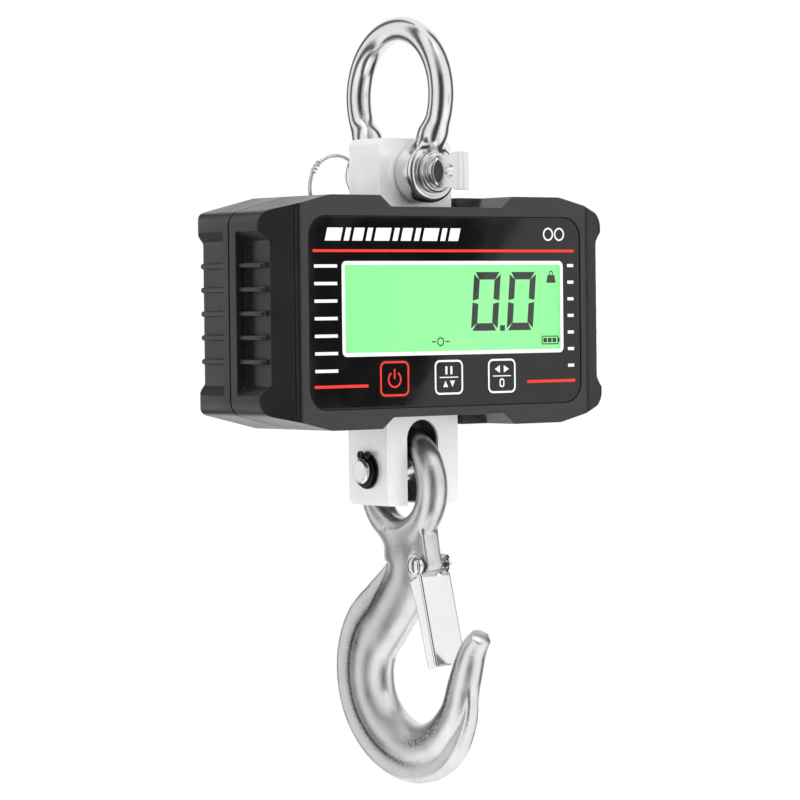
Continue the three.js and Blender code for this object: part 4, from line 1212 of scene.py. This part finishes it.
def hook():
    track = spline(HOOK_STATIONS, 300)
    line = track[:, :2]
    tangent = np.gradient(line, axis=0)
    tangent /= np.linalg.norm(tangent, axis=1, keepdims=True)

    def field(p):
        nearest, along, across = beside(p[:, 1:3], line, tangent)
        station = nearest + along / np.linalg.norm(line[1] - line[0])
        half = np.interp(station, np.arange(len(track)), track[:, 2])
        thick = np.interp(station, np.arange(len(track)), track[:, 3])
        side = np.abs(p[:, 0])
        wide = np.clip((station - 30) / 60, 0, 1) * np.clip((285 - station) / 60, 0, 1)
        shift = 0.26 * half * wide
        grown = half - shift
        reach = np.sqrt(((across - shift) / grown) ** 2 + (side / thick) ** 2 + 1e-9)
        bulge = (reach - 1) * np.minimum(grown, thick)
        web = thick * (0.98 - 0.40 * wide)
        corner = 0.7 * web
        out = np.abs(across + 0.35 * half) - (0.65 * half - corner)
        flange = rounded_box(out, side - (web - corner)) - corner + 6 * (1 - wide)
        body = smooth_min(bulge, flange, 1.2)
        past = np.where((nearest == 0) | (nearest == len(line) - 1), np.abs(along), 0)
        ball = np.hypot(np.hypot(across, p[:, 0]), past) - np.minimum(half, thick)
        body = np.where(past > 0, ball, body)
        from_eye = np.hypot(p[:, 1], p[:, 2] - EYE_Z)
        body = smooth_max(body, EYE_R - from_eye, 1.0)
        eye = np.hypot(from_eye - EYE_R, p[:, 0]) - EYE_SECTION_R
        both = smooth_min(body, eye, 4.0)
        pivot = np.hypot(p[:, 1] - LATCH_PIN[0], p[:, 2] - LATCH_PIN[1])
        spot = np.maximum(pivot - LATCH_FLAT_R, LATCH_FLAT_X - side)
        both = smooth_max(both, -spot, 0.8)
        both = smooth_max(both, -latch_sweep(p), 0.6)
        return smooth_max(smooth_min(both, rivet_boss(p), 1.6), LATCH_HOLE_R - pivot, 0.4)

    rings = []
    for i in range(0, 300, 3):
        y, z, half, thick = track[i]
        ty, tz = tangent[i]
        rings.append([(thick * sin(a), y + tz * half * cos(a), z - ty * half * cos(a))
                      for a in np.linspace(0, 2 * pi, 28, endpoint=False)])
    body = loft(rings, "hook_forging")
    eye = wire([(0, EYE_R * cos(a), EYE_Z + EYE_R * sin(a))
                for a in np.linspace(0, 2 * pi, 72, endpoint=False)], EYE_SECTION_R, 28, True)
    join(body, eye)
    pivot = (0, *LATCH_PIN)
    cut(body, rod("X", LATCH_HOLE_R, -20, 20, pivot))
    for low, high in mirrored(LATCH_FLAT_X, 20):
        cut(body, rod("X", LATCH_FLAT_R, low, high, pivot))
    join(body, prism("X", [(-22.5, -121), (-12, -121), (-12, -107), (-20, -107)], -4.6, 4.6))
    join(body, rod("X", BOSS_R, -4.6, 4.6, pivot))
    cut(body, rod("X", LATCH_HOLE_R, -20, 20, pivot))
    skin(body, field, 0.8, 5)
    # Paints shade along the forging's step and wear at the eye's neck into a vertex mask that the material
    # reads.
    paint_shade_and_wear(body, line, tangent, track[:, 2])
    return finish(body, FORGED, "hook", "galvanised_forging", "hook")


def paint_shade_and_wear(obj, line, tangent, half_width):
    """Marks where the colour is darkened: painted shade along the step of the forging, darker inside the
    point, and wear at the neck below the eye.
    """
    count = len(obj.data.vertices)
    place = np.empty(count * 3)
    obj.data.vertices.foreach_get("co", place)
    place = place.reshape(-1, 3)
    flat = np.stack([place[:, 1], place[:, 2] - MIDDLE], 1) / MM
    nearest, _, across = beside(flat, line, tangent)
    u = across / half_width[nearest]
    shank = np.clip((nearest - 55) / 20, 0, 1) * np.clip((215 - nearest) / 30, 0, 1)
    point = np.clip((nearest - 175) / 30, 0, 1) * np.clip((285 - nearest) / 20, 0, 1)
    # Painted shade: a dark band along the step between flange and bulge, and darker inside the point.
    shade_and_wear = shank * np.exp(-((u + 0.34) / 0.17) ** 2) + point * np.exp(-((u - 0.4) / 0.26) ** 2)
    # Wear at the neck below the eye.
    neck = np.exp(-((nearest - 24) / 14.0) ** 2) * np.exp(-((u - 0.2) / 0.5) ** 2)
    set_values(obj.data, "shade_and_wear", np.clip(shade_and_wear + 0.5 * neck, 0, 1))


def latch():
    """A pressed channel that straddles the hook on two ears, with a lip at its free end."""
    along = (LATCH_END - LATCH_TOP) / np.linalg.norm(LATCH_END - LATCH_TOP)
    inward = np.array((-along[1], along[0]))
    length = float(np.linalg.norm(LATCH_END - LATCH_TOP))
    half, sheet, depth = 9.4, 1.2, 8.0

    def outline(points, segments=6):
        corners = []
        for reach, deep, *radius in points:
            place = LATCH_TOP + along * reach + inward * deep
            corners.append((place[0], place[1], *radius))
        return rounded(corners, segments)

    channel = prism("X", outline([
        (-2, 0), (length, 0), (length, depth - 1, 2), (12, depth, 6), (0, depth + 2),
    ]), -half, half, "latch_pressing")
    round_edges(channel, 1.3, 4, 60)
    join(channel, rod("X", 5.2, -half, half, (0, *LATCH_PIN), 56))
    inner = half - sheet
    cut(channel, prism("X", outline([
        (0, sheet), (length + 5, sheet), (length + 5, 30), (-30, 30), (-30, -30), (0, -30),
    ]), -inner, inner))
    cut(channel, rod("X", LATCH_HOLE_R, -20, 20, (0, *LATCH_PIN), 40))
    bevel(channel, 0.22, 2, 35)
    return finish(channel, SHEET, "latch", "stainless_sheet", "latch")


def latch_pin():
    """A rivet with two domed heads."""
    head = [(9.7, 2.4), (9.7, 4.5)] + [(9.7 + 1.9 * sin(a), max(4.5 * cos(a), 0.01))
                                       for a in np.linspace(0.12, pi / 2, 10)]
    profile = [(-a, r) for a, r in reversed(head)] + head
    rivet = turned("X", profile, (0, *LATCH_PIN), 48, "latch_rivet")
    smooth(rivet, 40)
    return finish(rivet, STEEL, "hook", "polished_steel", "latch_pin")


def latch_spring():
    path = [(-7.4, LATCH_PIN[0] - 2.4, LATCH_PIN[1] - 16), (-7.45, LATCH_PIN[0] - 2.9, LATCH_PIN[1] - 8)]
    for degrees in range(180, 721, 15):
        angle = radians(degrees)
        x = -7.7 + 1.8 * (degrees - 180) / 540
        path.append((x, LATCH_PIN[0] + 3.4 * cos(angle), LATCH_PIN[1] + 3.4 * sin(angle)))
    spring = smooth(wire(path, 0.4, 10, name="latch_spring_wire"), 60)
    return finish(spring, STEEL, "latch", "polished_steel", "latch_spring")


# ---- pieces kept from the frame

def dress_kept_nodes():
    """The inner pieces keep their CAD shape and get a material of their own kind."""
    kinds = {
        "strain_gauge": FOIL, "gauge_cover": SHEET, "cell_bracket": SHEET, "cell_screw": ZINC,
        "bracket_screw": ZINC, "board_screw": ZINC, "seam_gasket": RUBBER, "upper_seal": RUBBER,
        "lower_seal": RUBBER, "door_gasket": RUBBER, "backlight": WHITE, "display_holder": WHITE,
        "main_board": BOARD, "power_switch": COMPONENT, "hold_switch": COMPONENT,
        "tare_switch": COMPONENT, "buzzer": COMPONENT, "charge_jack": COMPONENT, "battery_pack": WRAP,
    }
    for name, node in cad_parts.items():
        for prefix, material in kinds.items():
            if name.startswith(prefix) and not node.hide_render:
                node.data.materials.clear()
                node.data.materials.append(material)


# ---- studio

def camera():
    yaw, pitch, roll = (radians(a) for a in (38.155, 1.492, 0.676))
    distance, aside, above = 1658.88, 1.33, 42.397
    right = Vector((cos(yaw), -sin(yaw), 0))
    back = Vector((-sin(yaw) * cos(pitch), -cos(yaw) * cos(pitch), sin(pitch)))
    up = back.cross(right)
    place = -aside * right - above * up + distance * back
    turned_right = right * cos(roll) - up * sin(roll)
    turned_up = right * sin(roll) + up * cos(roll)
    data = bpy.data.cameras.new("camera")
    data.sensor_width = 36
    data.lens = 155.27
    data.clip_end = 20
    obj = bpy.data.objects.new("camera", data)
    rotation = Matrix((turned_right, turned_up, back)).transposed()
    obj.matrix_world = Matrix.Translation(place * MM + Vector((0, 0, MIDDLE))) @ rotation.to_4x4()
    bpy.context.scene.collection.objects.link(obj)
    bpy.context.scene.camera = obj


def backdrop():
    """A pale floor well below the hanging scale, swept up into a wall behind it."""
    material = surface("pale_paper", (0.93, 0.93, 0.93), 0.8, 0.0, 0.01, 0.05, 3, 300, 0.05, 0.05)
    floor_z = -0.50
    profile = [(-3.0, floor_z)]
    profile += [(2.0 + sin(a), floor_z + 1.0 - cos(a)) for a in np.linspace(0, pi / 2, 13)]
    profile += [(3.0, 3.5)]
    vertices = [(x, y, z) for x in (-5.0, 5.0) for y, z in profile]
    n = len(profile)
    mesh = bpy.data.meshes.new("studio_floor")
    mesh.from_pydata(vertices, [], [(i, i + 1, n + i + 1, n + i) for i in range(n - 1)])
    mesh.shade_smooth()
    mesh.materials.append(material)
    floor = bpy.data.objects.new("studio_floor", mesh)
    floor.rotation_euler = (0, 0, radians(-38.155))
    bpy.context.scene.collection.objects.link(floor)


def key_light():
    data = bpy.data.lights.new("key_light", "AREA")
    data.shape = "RECTANGLE"
    data.size = 1.6
    data.size_y = 1.6
    data.energy = 26
    light = bpy.data.objects.new("key_light", data)
    light.location = (-0.7, -1.2, 2.0)
    way = Vector((0, 0, MIDDLE)) - Vector(light.location)
    light.rotation_euler = way.to_track_quat("-Z", "Y").to_euler()
    bpy.context.scene.collection.objects.link(light)


def dark_card(name, corners, faces, darkness):
    """A dark card beside the set that only reflections see, which gives bright metal its bands."""
    mesh = bpy.data.meshes.new(name)
    mesh.from_pydata([tuple(c) for c in corners], [], faces)
    mesh.materials.append(CARD)
    set_values(mesh, "dark", darkness)
    card = bpy.data.objects.new(name, mesh)
    bpy.context.scene.collection.objects.link(card)
    card.visible_camera = False
    card.visible_diffuse = False
    card.visible_transmission = False
    card.visible_shadow = False


def hoop_card(name, turn, core, edge, reach=0.47):
    """A hoop from below to above the object, so many degrees to the right of the camera, with soft edges."""
    ahead = bpy.context.scene.camera.matrix_world.translation
    facing = atan2(ahead.y, ahead.x) + radians(turn)
    corners, darkness = [], []
    levels = range(-78, 79, 6)
    columns = ((-edge, 0), (-core, 1), (core, 1), (edge, 0))
    for degrees in levels:
        level = radians(degrees)
        for degrees_aside, dark in columns:
            heading = facing + radians(degrees_aside)
            corners.append((
                reach * cos(level) * cos(heading),
                reach * cos(level) * sin(heading),
                MIDDLE + reach * sin(level),
            ))
            darkness.append(dark)
    wide = len(columns)
    faces = [(row * wide + i, row * wide + i + 1, (row + 1) * wide + i + 1, (row + 1) * wide + i)
             for row in range(len(levels) - 1) for i in range(wide - 1)]
    dark_card(name, corners, faces, darkness)


def panel_card(eye):
    """A card that the glossy panel mirrors, with a slanting edge across the display."""
    plane = PRINT_Y * MM
    behind = Vector((eye.x, 2 * plane - eye.y, eye.z))
    corners = []
    for x, z in ((-86, 47), (46.5, 47), (-25.6, -47), (-86, -47)):
        target = Vector((x * MM, plane, z * MM + MIDDLE))
        corners.append(behind + (target - behind) * 1.8)
    dark_card("panel_card", corners, [(0, 1, 2, 3)], [1, 1, 1, 1])


def studio():
    scene = bpy.context.scene
    scene.view_settings.view_transform = "Standard"
    world = bpy.data.worlds.new("studio")
    world.use_nodes = True
    scene.world = world
    feed(world.node_tree, world.node_tree.nodes["Background"], {"Color": (1, 1, 1, 1), "Strength": 1.0})
    key_light()
    hoop_card("card_front", 6, 13, 33)
    hoop_card("card_left_near", -80, 6, 16)
    hoop_card("card_left_far", -130, 8, 18)
    hoop_card("card_right", 118, 10, 26)
    panel_card(scene.camera.matrix_world.translation)


shackle_bow()
shackle_pin()
safety_ring()
load_cell()
# A dark sheet that paints the shadow inside the clevis slot.
slot_shade_sheet()
front_shell()
rear_shell()
face_panel()
display_window()
display_glass()
display_segments()
white_print()
red_print()
for key_name, key_x in KEYS.items():
    key(key_name, key_x)
    key_print(key_name, key_x)
battery_door()
for number in range(1, 5):
    cross_screw(f"door_screw_{number}", 2.6, 1.3)
    cross_screw(f"shell_screw_{number}", 3.3, 1.6)
port_cap()
clevis_pin()
for way in (-1, 1):
    washer(way)
    circlip(way)
hook()
latch()
latch_pin()
latch_spring()
dress_kept_nodes()
camera()
backdrop()
studio()
